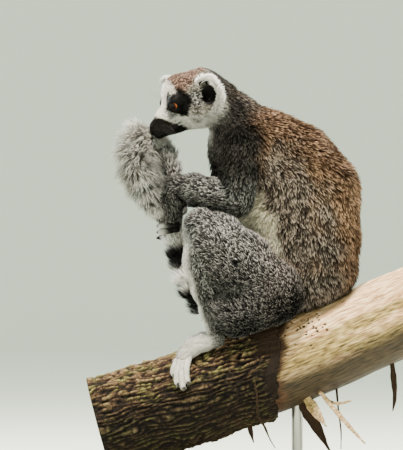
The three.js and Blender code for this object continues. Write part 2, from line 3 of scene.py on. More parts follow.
import bmesh
import bpy
import numpy as np
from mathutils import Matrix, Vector


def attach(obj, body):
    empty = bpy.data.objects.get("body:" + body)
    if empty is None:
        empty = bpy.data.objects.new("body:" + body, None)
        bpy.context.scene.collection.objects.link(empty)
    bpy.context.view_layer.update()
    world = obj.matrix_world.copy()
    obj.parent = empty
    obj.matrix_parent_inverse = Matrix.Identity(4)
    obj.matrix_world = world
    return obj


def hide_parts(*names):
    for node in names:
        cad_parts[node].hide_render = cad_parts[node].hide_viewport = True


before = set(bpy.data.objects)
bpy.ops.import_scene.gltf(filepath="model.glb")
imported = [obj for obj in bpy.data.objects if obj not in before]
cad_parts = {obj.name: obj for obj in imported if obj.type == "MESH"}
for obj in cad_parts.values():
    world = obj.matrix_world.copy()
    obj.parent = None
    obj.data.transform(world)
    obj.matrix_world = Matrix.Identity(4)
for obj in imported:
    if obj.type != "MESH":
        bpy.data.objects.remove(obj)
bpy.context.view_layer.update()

# A ring-tailed lemur sits on a short length of branch and holds its tail to its mouth. Shapes are worked
# out in millimetres in the seat frame, whose origin is on the branch's own axis, and become metres in the
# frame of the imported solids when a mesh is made. The animal faces -X and its left side is -Y.
MM = 0.001
SEAT_HEIGHT = 132
SEAT = np.array([-20.0, 0.0, SEAT_HEIGHT])
rng = np.random.default_rng(11)

# ---- Branch and stand ----
BRANCH_RISE = 0.36
BRANCH_BEND = 0.0003
BRANCH_START = -148
BRANCH_END = 205
BARK_RADIUS = 52
BARK_INSIDE = 46.3
WOOD_RADIUS = 49.5  # of the bare length, where it starts
WOOD_TAPER = 0.018
WOOD_CORE = 45.6  # radius under the bark
BARK_EDGE = 48
BARK_EDGE_LEAN = 0.35
RIDGES = 62  # furrows round the branch
BORE_HOLES = 64
BORE_REACH = (48, 106)  # stretch of the branch that beetles have bored
BORE_SIDE = 0.7  # radians round from the top
ROD_RADIUS = 6
ROD_PLACES = {"front": -82, "back": 66}
ROD_SEAT = 45.5  # where a rod meets the branch, below its axis
BOARD = (300, 176, 16, 22)  # length, width, thickness and radius of the corners
BOARD_EDGE = 3.0

# ---- Body: joints are x, y, z, radius to the tips of the coat, width as a share, depth of the coat ----
SPINE = [
    (87.5, 0, 126, 45, 1.02, 7), (85.5, 0, 159.8, 50.5, 1.0, 10), (77, 0, 201, 58.5, 0.87, 10),
    (57, 0, 228, 54.5, 0.86, 9), (26.5, 0, 250.5, 46.5, 0.9, 8), (6.5, 0, 267.8, 34.5, 0.95, 7),
    (-4.3, 0, 285, 28.5, 0.95, 6), (-19.4, 0, 302.4, 25, 0.95, 5),
]
BREAST = [(-2.2, 0, 248.4, 30, 0.85, 10), (2, 0, 209.5, 29, 0.9, 7), (12, 0, 184, 27, 0.9, 4)]
SEAT_FLESH = [(40, 0, 76, 26, 1, 3), (-8, 0, 68, 17, 1, 3)]
BELLY = [(54, 0, 167.4, 45, 0.9, 4), (62, 0, 122, 46, 0.95, 3)]
ELBOW = (2, -40, 195.5, 16, 1, 4.5)
UPPER_ARM = [(7.6, -27, 256, 25, 0.95, 6), (4.3, -34, 227, 23, 0.9, 6), (3.2, -39, 207, 18, 1, 5), ELBOW]
FOREARM = [
    ELBOW, (-22.7, -38, 203, 17.5, 1, 4.5), (-44.3, -31, 209, 16, 1, 4), (-60.5, -25, 211.7, 12.5, 1, 3),
]
THIGH = [
    (34, -42, 100, 36, 0.8, 6), (3.2, -47, 127.4, 38, 0.74, 6), (-19.4, -47, 154.4, 30, 0.8, 5.5),
    (-35.6, -45, 168.5, 20.5, 0.95, 5),
]
HAM = [(40, -38, 98, 34, 0.8, 4), (2, -41, 80, 30, 0.8, 3)]
SHANK = [
    (-38.9, -45, 165, 20.5, 1, 5), (-36.7, -43, 131.8, 22, 0.9, 5), (-32.5, -40, 103, 17.5, 0.95, 4.5),
    (-27, -37, 80, 13, 1, 3.5), (-23, -34, 58, 10, 1, 2.5),
]
PALM = [(-66, -24, 208, 12, 1, 3), (-69, -23, 197, 12.5, 1, 3), (-69, -20, 184, 11, 1, 2.5)]
FINGER_TOP = 184
FINGER_PITCH = 6.4
THUMB = [(-64, -12, 196, 5), (-56, 2, 192, 4.4), (-60, 13, 188, 3.6)]
GRIP = np.array([-70, 1, 180])  # middle of the held tail, which the hands close on
RIGHT_HAND_RISE = -6

# ---- Head, in its own frame of forward, left and up ----
HEAD_CENTRE = np.array([-40, -2, 304.6])
HEAD_PITCH = math.radians(28.2)
HEAD_YAW = math.radians(16)
SKULL = [(-4, 0, 5, 29.5, 1, 3), (14, 0, 13.5, 24, 1, 2.4)]
FACE = [(12, 0, 4, 24, 1, 4), (37, 0, -2, 15.5, 0.84, 1.8), (54.5, 0, -4.5, 9.8, 0.82, 0.8)]
JAW = [(10, 0, -15, 15.5, 1, 4), (36, 0, -11, 7.8, 0.95, 1.5), (55, 0, -9.5, 6.6, 0.95, 0.8)]
CHEEK = [(-8, 15, -6, 18.5, 1, 5), (10, 14.5, -9, 17, 1, 4)]
EYE_AT = np.array([28.8, 15.6, 11.3])
EYE_RADIUS = 7.4
CORNEA_RISE = 0.35
GAZE_OUT = math.radians(28)
GAZE_UP = math.radians(-12)
LID_OPEN_WIDE = math.radians(46)
LID_OPEN_HIGH = math.radians(33)
LID_THICKNESS = 1.3
LID_DEPTH = 2.5  # the skin is cut this far into the ball within the opening
LID_DROP = 0.1  # the upper lid hangs lower than the lower one rises
SOCKET_DISH = 9.0  # radius of the hollow in front of each eye
IRIS_EDGE = math.radians(54)
PUPIL_EDGE = math.radians(33)
NOSE = [(57, 0, -1.8, 4.4), (59, 0, -2.4, 3.6)]
NOSTRIL = [(62.4, 2.0, -2.4, 1.0), (59.4, 4.3, -1.2, 0.8)]
PHILTRUM = [(63.4, 0, -4.7, 0.5), (61.4, 0, -9.5, 0.5)]
MOUTH = [
    (62, 0, -10.4, 0.6), (60.5, 5, -10.7, 0.6), (52, 7.8, -11, 0.6), (42, 10, -11.6, 0.6), (34, 12.5, -10, 0.5),
]
EAR_LENGTH = 28
EAR_HALF_WIDTH = 15.5
EAR_CUP = 9
EARS = {  # root, way to the tip and way that it opens
    "left": ((1.5, 21, -5), (-0.43, 0.47, 0.77), (0.7, 0.66, 0)),
    "right": ((0, -20, 15), (0.45, -0.8, 0.4), (0.8, 0.1, -0.5)),
}
EAR_HOLLOWS = [
    [(5, 40, 5, 9), (-3, 27, 3, 7.5), (-6, 18, 0, 5)],
    [(9, -36, 18, 8), (2, -25, 13, 6), (-5, -18, 8, 4)],
]

# ---- Tail: x, y, z, radius to the tips of its hair ----
TAIL = [
    (96, 0, 104, 17), (66, 0, 96, 15), (32, 0, 84.5, 15), (4, 0, 77, 16), (-16, 0, 78, 16),
    (-32, 0, 86, 16), (-41, 0, 97, 16.5), (-49, 0, 110, 16), (-54, 0, 123, 15.5), (-58.5, 0, 137, 14.5),
    (-65, 0, 153, 13), (-70, 0, 169, 12), (-71, 0, 190, 11.5), (-70, 1, 208, 12), (-72, 3, 226, 12.5),
    (-76, 5, 241, 13.5), (-83, 5, 253.5, 13), (-92, 2, 261, 16), (-102.6, -3, 260, 23.5),
    (-107, -9, 244, 23.5), (-104.5, -13, 228, 22), (-98.5, -15, 213, 19), (-91.5, -17, 201, 14.5),
    (-86.5, -18, 189, 11), (-81, -19, 177, 6),
]
TAIL_CORE = (7.5, 3.6)  # radius of the tail under its hair, at the rump and at the tip

# ---- Skin mesh ----
GRID = 2.5
GRID_LOW = np.array([-125.0, -72.0, 6.0])
GRID_HIGH = np.array([142.0, 72.0, 345.0])
BLOCK = 4  # cells of the grid that are looked at together first
FILLET = 14
FAR = 60.0
HEAD_REACH = 48  # within this of the head's centre the skin is meshed finer


def joints(rows):
    """Array of joints with every column filled in: x, y, z, radius, width, coat."""
    return np.array([tuple(row) + (1, 0)[len(row) - 4:] for row in rows], float)


def mirrored(rows):
    return [(x, -y, z, *rest) for x, y, z, *rest in rows]


def raised(rows, rise, grows=False):
    last = len(rows) - 1
    return [(x, y, z + rise * (n / last if grows else 1), *rest) for n, (x, y, z, *rest) in enumerate(rows)]


def unit(v):
    v = np.asarray(v, float)
    return v / np.maximum(np.linalg.norm(v, axis=-1, keepdims=True), 1e-9)


def along_unit(v, ways):
    """How far each v reaches along its own unit way, as a column."""
    return (v * ways).sum(1, keepdims=True)


def smooth_step(x, low, high):
    t = np.clip((x - low) / (high - low), 0, 1)
    return t * t * (3 - 2 * t)


def smooth_min(a, b, softness):
    h = np.maximum(softness - np.abs(a - b), 0) / softness
    return np.minimum(a, b) - h * h * softness / 4


def smooth_max(a, b, softness):
    return -smooth_min(-a, -b, softness)


def wobble(points, size, seed):
    """Smooth noise between about -1 and 1 that changes over the given distance in millimetres."""
    own = np.random.default_rng(seed)
    total = np.zeros(len(points))
    for _ in range(7):
        way = unit(own.normal(size=3)) * own.uniform(0.7, 1.6) * 2 * math.pi / (2 * size)
        total += np.sin(points @ way + own.uniform(0, 2 * math.pi))
    return total / 3.2


def capsule(points, a, b):
    """Distance from the points to the tapered length between two joints, to the skin."""
    reach = max(a[3], b[3]) * max(a[4], b[4], 1) + FILLET + 8
    near = ((points > np.minimum(a[:3], b[:3]) - reach) & (points < np.maximum(a[:3], b[:3]) + reach)).all(1)
    offset = points[near] - a[:3]
    span = b[:3] - a[:3]
    t = np.clip(offset @ span / (span @ span), 0, 1)
    radius, wide, coat = (a[3:6] + np.outer(t, b[3:6] - a[3:6])).T
    away = offset - t[:, None] * span
    away[:, 1] /= wide
    distance = np.full(len(points), FAR)
    distance[near] = (np.linalg.norm(away, axis=1) - radius + coat) * np.minimum(wide, 1)
    return distance


def blend(softness, fields):
    total = fields[0]
    for other in fields[1:]:
        total = smooth_min(total, other, softness)
    return total


def limb(points, rows, softness=6):
    rows = joints(rows)
    return blend(softness, [capsule(points, a, b) for a, b in zip(rows, rows[1:])])


# ---- Head frame ----
HEAD_FORWARD = np.array([
    -math.cos(HEAD_PITCH) * math.cos(HEAD_YAW),
    -math.cos(HEAD_PITCH) * math.sin(HEAD_YAW),
    -math.sin(HEAD_PITCH),
])
HEAD_LEFT = np.array([math.sin(HEAD_YAW), -math.cos(HEAD_YAW), 0])
HEAD_UP = np.cross(HEAD_FORWARD, HEAD_LEFT)
HEAD_TURN = np.array([HEAD_FORWARD, HEAD_LEFT, HEAD_UP])


def into_head(points):
    return (points - HEAD_CENTRE) @ HEAD_TURN.T


def from_head(points):
    return np.asarray(points, float) @ HEAD_TURN + HEAD_CENTRE


def eye_axes(side):
    """Ways forward, across and up of an eye. side is 1 for the left eye and -1 for the right one."""
    forward = np.array([
        math.cos(GAZE_OUT) * math.cos(GAZE_UP),
        side * math.sin(GAZE_OUT) * math.cos(GAZE_UP),
        math.sin(GAZE_UP),
    ])
    across = unit(np.cross((0, 0, 1), forward))
    return forward, across, np.cross(forward, across)


def from_eye(points, side):
    """Offset and distance from an eye's middle, in the head's frame."""
    offset = points - EYE_AT * (1, side, 1)
    return offset, np.linalg.norm(offset, axis=1)


def head_field(points):
    """Distance to the skin of the head: skull, face, jaw and cheeks, with lids, nose and mouth."""
    local = into_head(points)
    near = (np.abs(local) < 95).all(1)
    p = local[near]
    own = blend(7, [limb(p, SKULL), limb(p, FACE, 8), limb(p, JAW), limb(p, CHEEK), limb(p, mirrored(CHEEK))])
    own = smooth_min(own, limb(p, NOSE), 2)
    for side in (1, -1):
        offset, distance = from_eye(p, side)
        axes = eye_axes(side)
        forward, across, up = (offset @ axis for axis in axes)
        floor = EYE_RADIUS * math.cos(LID_OPEN_WIDE) - 1
        hollow = np.linalg.norm(offset - axes[0] * (floor + SOCKET_DISH), axis=1) - SOCKET_DISH
        own = smooth_max(own, -hollow, 3)
        lowered = up + LID_DROP * forward
        opening = np.hypot(across / math.tan(LID_OPEN_WIDE), lowered / math.tan(LID_OPEN_HIGH)) - forward
        own = smooth_min(own, distance - EYE_RADIUS - LID_THICKNESS, 5)
        pocket = np.maximum(0.6 * opening, EYE_RADIUS - LID_DEPTH - distance)
        own = smooth_max(own, -pocket, 0.8)
    for groove in (NOSTRIL, mirrored(NOSTRIL), PHILTRUM, MOUTH, mirrored(MOUTH)):
        own = smooth_max(own, -limb(p, groove, 1), 1)
    for hollow in EAR_HOLLOWS:
        own = smooth_max(own, -limb(p, hollow, 1), 3)
    total = np.full(len(points), FAR)
    total[near] = own
    return total


def tail_joints():
    core = np.linspace(*TAIL_CORE, len(TAIL))
    return [(x, y, z, radius, 1, radius - c) for (x, y, z, radius), c in zip(TAIL, core)]


def both_sides(name, rows, right=None):
    return {f"{name}_left": [rows], f"{name}_right": [right or mirrored(rows)]}


# Chains of joints of each part of the body.
PARTS = {
    "trunk": [SPINE[:6], BREAST, BELLY, SEAT_FLESH],
    "neck": [SPINE[5:]],
    **both_sides("upper_arm", UPPER_ARM),
    **both_sides("forearm", FOREARM, raised(mirrored(FOREARM), RIGHT_HAND_RISE, grows=True)),
    "thigh_left": [THIGH, HAM],
    "thigh_right": [mirrored(THIGH), mirrored(HAM)],
    **both_sides("shank", SHANK),
    **both_sides("hand", PALM, raised(mirrored(PALM), RIGHT_HAND_RISE)),
    "tail": [tail_joints()],
}


def axis_height(x):
    return BRANCH_RISE * x + BRANCH_BEND * x * x


def from_axis(x, right, up):
    """Point at an offset to the right and up from the branch's axis, in the plane square to it at x."""
    slope = BRANCH_RISE + 2 * BRANCH_BEND * x
    length = np.sqrt(1 + slope * slope)
    return np.stack([x - up * slope / length, right + 0 * x, axis_height(x) + up / length], -1)


def on_branch(x, round_deg, height, *sizes):
    """Joint on the branch: x along it, degrees round from the top to the animal's left, mm above the bark."""
    turn = math.radians(round_deg)
    out = BARK_RADIUS + height
    return (*from_axis(np.float64(x), -out * math.sin(turn), out * math.cos(turn)), *sizes)


SOLE = [
    on_branch(-4, 34, 10, 10, 1, 2), on_branch(-17, 31, 10, 10, 1, 2),
    on_branch(-30, 32, 9, 9.5, 1, 1.8), on_branch(-41, 38, 8, 8.5, 1, 1.5),
]
PARTS.update(both_sides("foot", SOLE))
ALL_PARTS = [*PARTS, "head"]
TOES = [(-49, -57, 60), (-46, -56, 71), (-42, -52, 77), (-37, -46, 73)]  # base, tip, degrees round
BIG_TOE = [on_branch(-20, 24, 7, 6.5), on_branch(-28, 3, 6.2, 6), on_branch(-32, -16, 4.8, 4.4)]
SPINE_SOFTNESS = {"trunk": 10, "neck": 8}
# Order in which the other parts are blended with the trunk, and how softly.
JOINS = [
    (12, ["neck", "head", "upper_arm_left", "upper_arm_right", "thigh_left", "thigh_right"]),
    (7, ["forearm_left", "forearm_right", "shank_left", "shank_right"]),
    (4, ["hand_left", "hand_right", "foot_left", "foot_right"]),
    (1.5, ["tail"]),
]


def part_field(name, points):
    if name == "head":
        return head_field(points)
    first, *others = PARTS[name]
    chains = [limb(points, first, SPINE_SOFTNESS.get(name, 6)), *[limb(points, c) for c in others]]
    return blend(FILLET if name == "trunk" else 8, chains)


def skin_field(points):
    total = part_field("trunk", points)
    for softness, names in JOINS:
        total = blend(softness, [total, *[part_field(name, points) for name in names]])
    return total


def surface_nets(field, low, high, step):
    """Points and quads of the surface where the field is 0."""
    counts = np.ceil((high - low) / step).astype(int) + 1
    grid = low + step * np.stack(np.meshgrid(*[np.arange(n) for n in counts], indexing="ij"), -1)
    coarse = grid[2::BLOCK, 2::BLOCK, 2::BLOCK]
    values = field(coarse.reshape(-1, 3)).reshape(coarse.shape[:3])
    values = values.repeat(BLOCK, 0).repeat(BLOCK, 1).repeat(BLOCK, 2)
    values = np.pad(values, [(0, max(0, n - m)) for n, m in zip(counts, values.shape)], constant_values=FAR)
    values = values[tuple(slice(n) for n in counts)].copy()
    near = np.abs(values) < BLOCK * step * 1.2
    values[near] = field(grid[near])
    cells = counts - 1
    total = np.zeros((*cells, 3))
    crossings = np.zeros(cells)
    for a in np.ndindex(2, 2, 2):
        for axis in range(3):
            if a[axis]:
                continue
            b = a + np.eye(3, dtype=int)[axis]
            va, vb = (values[tuple(slice(s, s + n) for s, n in zip(c, cells))] for c in (a, b))
            cross = (va < 0) != (vb < 0)
            share = va[cross] / (va[cross] - vb[cross])
            total[cross] += np.array(a) + share[:, None] * np.eye(3)[axis]
            crossings[cross] += 1
    used = crossings > 0
    index = np.full(cells, -1)
    index[used] = np.arange(used.sum())
    points = low + step * (np.argwhere(used) + total[used] / crossings[used][:, None])
    quads = []
    for axis in range(3):
        ways = np.eye(3, dtype=int)
        here = tuple(slice(i != axis, cells[i]) for i in range(3))
        ahead = tuple(slice(1, cells[i] + (i == axis)) for i in range(3))
        inside = values[here] < 0
        cross = inside != (values[ahead] < 0)
        place = np.argwhere(cross) + (1 - ways[axis])
        u, v = ways[(axis + 1) % 3], ways[(axis + 2) % 3]
        quad = np.stack([index[tuple((place - a * u - b * v).T)] for a, b in ((1, 1), (0, 1), (0, 0), (1, 0))], 1)
        out = inside[cross]
        quad[~out] = quad[~out][:, ::-1]
        quads.append(quad)
    return points, np.concatenate(quads)


def onto_surface(points, field, rounds=1, reach=1.5, h=0.2):
    """Moves the points onto the surface where the field is 0."""
    for _ in range(rounds):
        value = field(points)
        slope = np.stack([(field(points + h * way) - value) / h for way in np.eye(3)], 1)
        step = -value[:, None] * slope / np.maximum((slope ** 2).sum(1), 0.2)[:, None]
        length = np.linalg.norm(step, axis=1, keepdims=True)
        points = points + step * np.minimum(1, reach / np.maximum(length, 1e-9))
    return points


# ---- Meshes ----
def set_points(mesh, points):
    mesh.vertices.foreach_set("co", ((points + SEAT) * MM).astype(np.float32).ravel())


def new_mesh(name, points, faces):
    """Mesh in metres from points in the seat frame and a list of arrays of faces."""
    loops = np.concatenate([f.ravel() for f in faces]).astype(np.int32)
    sizes = np.concatenate([np.full(len(f), f.shape[1]) for f in faces])
    mesh = bpy.data.meshes.new(name)
    mesh.vertices.add(len(points))
    set_points(mesh, points)
    mesh.loops.add(len(loops))
    mesh.loops.foreach_set("vertex_index", loops)
    mesh.polygons.add(len(sizes))
    mesh.polygons.foreach_set("loop_start", (np.cumsum(sizes) - sizes).astype(np.int32))
    mesh.polygons.foreach_set("use_smooth", np.ones(len(sizes), bool))
    mesh.update(calc_edges=True)
    return mesh


def triples(items, key, kind=np.float32):
    """Three numbers of each of a mesh's items."""
    values = np.empty(3 * len(items), kind)
    items.foreach_get(key, values)
    return values.reshape(-1, 3)


def mesh_points(mesh):
    return triples(mesh.vertices, "co").astype(float) / MM - SEAT


def mesh_normals(mesh):
    return triples(mesh.vertex_normals, "vector").astype(float)


def wrap_quads(rows, columns, closed=False):
    """Quads of a grid whose columns run round; closed joins the last row to the first as well."""
    wall = np.arange(rows * columns).reshape(rows, columns)
    wall = np.vstack([wall, wall[:1]]) if closed else wall
    after = np.roll(wall, -1, 1)
    return np.stack([wall[:-1], after[:-1], after[1:], wall[1:]], -1).reshape(-1, 4)


def tube_faces(rows, columns, start=0, hubs=None):
    """Faces of a closed stack of rings: quads between them, and a fan over each end from a hub or a corner."""
    i = np.arange(columns)[slice(None) if hubs else slice(1, -1)]
    after = (i + 1) % columns
    last = (rows - 1) * columns
    hubs = hubs or (0, last)
    ends = [[after, i, 0 * i + hubs[0]], [last + i, last + after, 0 * i + hubs[1]]]
    return [wrap_quads(rows, columns) + start, *[np.stack(end, 1) + start for end in ends]]


def shell_faces(along, across, start=0):
    """Faces of a closed plate: a grid of points, the same grid again under it, and the rim between them."""
    grid = np.arange(along * across).reshape(along, across) + start
    quads = np.stack([grid[:-1, :-1], grid[:-1, 1:], grid[1:, 1:], grid[1:, :-1]], -1).reshape(-1, 4)
    rim = np.concatenate([grid[0], grid[1:, -1], grid[-1, -2::-1], grid[-2:0:-1, 0]])
    after = np.roll(rim, -1)
    below = along * across
    return [np.concatenate([quads[:, ::-1], quads + below]), np.stack([rim, after, after + below, rim + below], 1)]


def rings_round(centres, across, over, sides, top=1.0):
    """Rings of points round the centres. across and over are the two half widths of each ring, and top is
    the share of the first one that its near half keeps."""
    turn = np.linspace(0, 2 * math.pi, sides, endpoint=False)[None, :, None]
    near = np.where(np.cos(turn) > 0, top, 1.0) * np.cos(turn)
    return (centres[:, None] + near * across[:, None] + np.sin(turn) * over[:, None]).reshape(-1, 3)


def refined(mesh, near):
    """The mesh with its faces split in four where near says so of both ends of an edge."""
    chosen = near(mesh_points(mesh))
    bm = bmesh.new()
    bm.from_mesh(mesh)
    edges = [e for e in bm.edges if chosen[e.verts[0].index] and chosen[e.verts[1].index]]
    bmesh.ops.subdivide_edges(bm, edges=edges, cuts=1, use_grid_fill=True)
    bmesh.ops.triangulate(bm, faces=[f for f in bm.faces if len(f.verts) > 4])
    bm.to_mesh(mesh)
    bm.free()
    mesh.update()


def near_head(points):
    return np.linalg.norm(into_head(points) - (14, 0, 0), axis=1) < HEAD_REACH


def near_eyes_or_muzzle(points):
    p = into_head(points)
    muzzle = (p[:, 0] > 40) & (np.abs(p[:, 1]) < 20) & (np.abs(p[:, 2]) < 26)
    return (from_eye(p, 1)[1] < 13) | (from_eye(p, -1)[1] < 13) | muzzle


def body_mesh():
    points, quads = surface_nets(skin_field, GRID_LOW, GRID_HIGH, GRID)
    mesh = new_mesh("skin", onto_surface(points, skin_field), [quads])
    for near in (near_head, near_eyes_or_muzzle):
        refined(mesh, near)
        points = mesh_points(mesh)
        moved = near(points)
        points[moved] = onto_surface(points[moved], skin_field, rounds=2)
        set_points(mesh, points)
    mesh.update()
    return mesh


# ---- Colours ----
def linear(code):
    """Linear RGB of an sRGB hex colour."""
    channels = np.array([int(code[i:i + 2], 16) / 255 for i in (1, 3, 5)])
    return np.where(channels <= 0.04045, channels / 12.92, ((channels + 0.055) / 1.055) ** 2.4)


# Colours of the coat: near the skin and at the tips.
FUR = {
    "rufous": ("#2c1910", "#f0c29c"), "brown": ("#16100d", "#dac5b6"), "grey": ("#0b0b0d", "#e2e1df"),
    "charcoal": ("#0b0a0a", "#6a6460"), "crown": ("#33211a", "#d6b6a2"), "cream": ("#c6bca2", "#fffbf0"),
    "white": ("#c9c5be", "#fffdf8"), "cheek": ("#3f3c35", "#e6e1d4"), "black": ("#040404", "#171413"),
    "muzzle": ("#050404", "#37322f"), "ear": ("#d9d6d0", "#ffffff"), "ash": ("#a09b94", "#fdfbf6"),
}
FUR = {name: (linear(root), linear(tip)) for name, (root, tip) in FUR.items()}
BARE_SKIN = linear("#0b0a0a")


def mixed(a, b, share):
    """Colours a and b mixed by a share for each point."""
    share = np.asarray(share)[:, None]
    return tuple(x * (1 - share) + y * share for x, y in zip(a, b))


def plain(name, count):
    return tuple(np.tile(colour, (count, 1)) for colour in FUR[name])


def dyed(fur, name, share):
    """The fur's colours with another laid over them by a share for each point."""
    return mixed(fur, plain(name, len(share)), share)


def chain_place(points, rows):
    """Way along the chain, place along it in mm, turn round it for each point, and the chain's length."""
    rows = joints(rows)
    best = np.full(len(points), np.inf)
    way, along, turn = np.zeros((len(points), 3)), np.zeros(len(points)), np.zeros(len(points))
    length = 0.0
    for a, b in zip(rows, rows[1:]):
        span = b[:3] - a[:3]
        offset = points - a[:3]
        t = np.clip(offset @ span / (span @ span), 0, 1)
        away = offset - t[:, None] * span
        distance = np.linalg.norm(away, axis=1)
        way += np.exp(-distance / 6)[:, None] * unit(span)
        nearer = distance < best
        best[nearer] = distance[nearer]
        along[nearer] = (length + t * np.linalg.norm(span))[nearer]
        side = unit(np.cross(unit(span), (0.3, 0, 1)))
        over = np.cross(side, unit(span))
        turn[nearer] = np.arctan2(away @ side, away @ over)[nearer]
        length += np.linalg.norm(span)
    return unit(way), along, turn, length


# Coat of each part: length mm, lift degrees, width mm, tufts per square cm.
COATS = {
    "trunk": (13.5, 36, 1.75, 50), "neck": (11, 32, 1.4, 70), "head": (6, 26, 0.9, 130),
    "upper_arm": (9.5, 32, 1.25, 76), "forearm": (8, 31, 1.15, 84), "thigh": (8.5, 31, 1.25, 74),
    "shank": (7, 27, 1.15, 70), "hand": (8, 30, 1.0, 85), "foot": (4.5, 20, 0.75, 80),
    "tail": (19, 42, 0.95, 170),
}
FACE_COAT = {"length": 2.6, "lift": 17, "width": 0.62}
RING_LENGTH = 44
RING_SHIFT = 151  # first ring's edge from the rump, along the tail
BEND_START = 296  # the bend at the mouth, where the rings are crowded on its inner side
BEND_RING = 21
BACK_WAY = unit((0.75, 0, 0.66))  # way that the middle of the back faces
FLANK_FAN = (22, 197, 15)  # x, z and radius of the long pale hair behind each elbow


def trunk_colours(points, normals):
    x, _, z = points.T
    edge = wobble(points, 16, 5) * 0.18
    fur = dyed(plain("brown", len(x)), "rufous", smooth_step(normals @ BACK_WAY + edge, 0.0, 0.5))
    # painted shade: the lower trunk is dyed darker brown
    fur = dyed(fur, "brown", 0.6 * smooth_step(z, 150, 100))
    front = smooth_step(-normals[:, 0] - 0.3 * normals[:, 2] + 0.5 * edge, 0.8, 0.98)
    flank = smooth_step(-0.97 * (x - 36.5) - 0.24 * (z - 199.8) + 14 * edge, -3, 4)
    flank = flank * smooth_step(z, 216, 206) * smooth_step(z, 136, 152)
    front = np.maximum(front * smooth_step(z, 200, 180), flank)
    fur = dyed(fur, "cream", front)
    # painted shade: the lower rear of the trunk is darkened with charcoal
    rump = smooth_step(z + 8 * edge, 185, 110) * smooth_step(x, 40, 70)
    fur = dyed(fur, "charcoal", 0.6 * rump * (1 - front))
    # painted shade: charcoal over the shoulders and the front above the arms
    painted_shoulder_shade = smooth_step(x + 0.35 * np.maximum(z - 258, 0), 26, 12) * smooth_step(z, 200, 225)
    return dyed(fur, "charcoal", 0.95 * painted_shoulder_shade * (1 - front))


def neck_colours(points, normals):
    # painted shade: the neck is charcoal, brown only where it faces up and back, with its white throat
    fur = dyed(plain("charcoal", len(points)), "brown", smooth_step(normals @ BACK_WAY, 0.45, 0.95))
    return dyed(fur, "white", 0.85 * smooth_step(-normals[:, 0] - 0.4 * normals[:, 2], 0.8, 1.0))


def head_colours(points, normals):
    forward, left, up = into_head(points).T
    left = np.abs(left)
    on_side = smooth_step(left, 6.5, 9)
    speck = wobble(points, 4, 8) + 0.9 * wobble(points, 1.5, 9)
    fur = dyed(plain("cheek", len(points)), "white", smooth_step(-up + 3 * speck, 8, 20))
    fur = dyed(fur, "white", smooth_step(forward + 2 * speck, 19, 26))
    crown = smooth_step(up + 0.3 * forward + 2 * speck, 20, 26) * smooth_step(forward + 1.5 * speck, 27, 22)
    fur = dyed(fur, "crown", crown)
    temple = smooth_step(np.hypot(forward - 12, up - 6) + 1.5 * speck, 13, 6) * smooth_step(left, 10, 16)
    fur = dyed(fur, "grey", 0.9 * temple)
    # painted shade: the back of the head is charcoal, leading into the shaded neck
    fur = dyed(fur, "charcoal", smooth_step(-forward + 2 * speck, 13, 19) * (1 - crown))
    under_eye = smooth_step(np.hypot(forward - 39, up - 2) + 2 * speck, 8, 4) * on_side
    fur = dyed(fur, "grey", 0.85 * under_eye)
    patch = np.minimum(
        np.hypot(0.9 * (forward - EYE_AT[0]), up - EYE_AT[2]) - 10.5,
        limb(np.stack([forward, 0 * left, up], 1), [(24, 0, 8, 8), (27, 0, 1, 6.5)]),
    )
    fur = dyed(fur, "black", smooth_step(patch + 0.8 * speck, 1.2, -0.8) * on_side)
    return dyed(fur, "muzzle", smooth_step(0.747 * forward - 0.664 * up + 0.8 * speck, 34, 36.5))


def limb_colours(part, points, normals):
    """Grey limbs, pale on their inner side, with painted shade on their outer and under sides, hands and heels, and
    a painted highlight down the front of each shin.
    """
    x, _, z = points.T
    kind, _, side = part.rpartition("_")
    fur = plain("grey", len(x))
    inner = smooth_step((1 if side == "left" else -1) * normals[:, 1], 0.2, 0.7)
    outer = 1 - inner
    if kind in ("thigh", "upper_arm"):
        fur = dyed(fur, "cream", inner)
    if kind == "upper_arm":
        # painted shade: the outer side of the upper arm is darkened, most of all up by the shoulder
        fur = dyed(fur, "charcoal", (0.5 + 0.5 * smooth_step(z, 205, 235)) * outer)
    if kind == "thigh":
        fur = dyed(fur, "brown", 0.4 * smooth_step(x, 15, 45))
        # painted shade: the outer side of the thigh darkens towards its bottom
        fur = dyed(fur, "charcoal", 0.75 * smooth_step(z + 0.4 * x, 172, 108) * outer)
    if kind == "shank":
        # painted shade: the outer side of the shank darkens towards the bottom
        fur = dyed(fur, "charcoal", 0.6 * smooth_step(z, 140, 95) * outer)
        # painted highlight: the front of each shin is painted white, strongest below the knee; the pale inner side
        # is the fur's own colour
        painted_shin_highlight = smooth_step(-normals[:, 0], 0.5, 0.88) * (0.35 + 0.65 * smooth_step(z, 168, 148))
        fur = dyed(fur, "white", np.maximum(painted_shin_highlight, 0.7 * inner))
    if kind == "foot":
        # painted shade: the white foot turns grey towards the heel
        fur = dyed(fur, "white", 0.15 + 0.8 * smooth_step(x, -20, -29))
    if kind == "hand":
        # the hand's own dark grey fur, darkened further as painted shade
        fur = dyed(fur, "charcoal", np.full(len(x), 0.7))
    if kind == "forearm":
        # painted shade: darker on the underside of the forearm, and towards the wrist where it meets the hand's
        # partly shaded fur
        below = 0.6 * smooth_step(normals[:, 2], 0.3, -0.4)
        fur = dyed(fur, "charcoal", np.maximum(0.5 * smooth_step(x, -38, -58), below))
    return fur


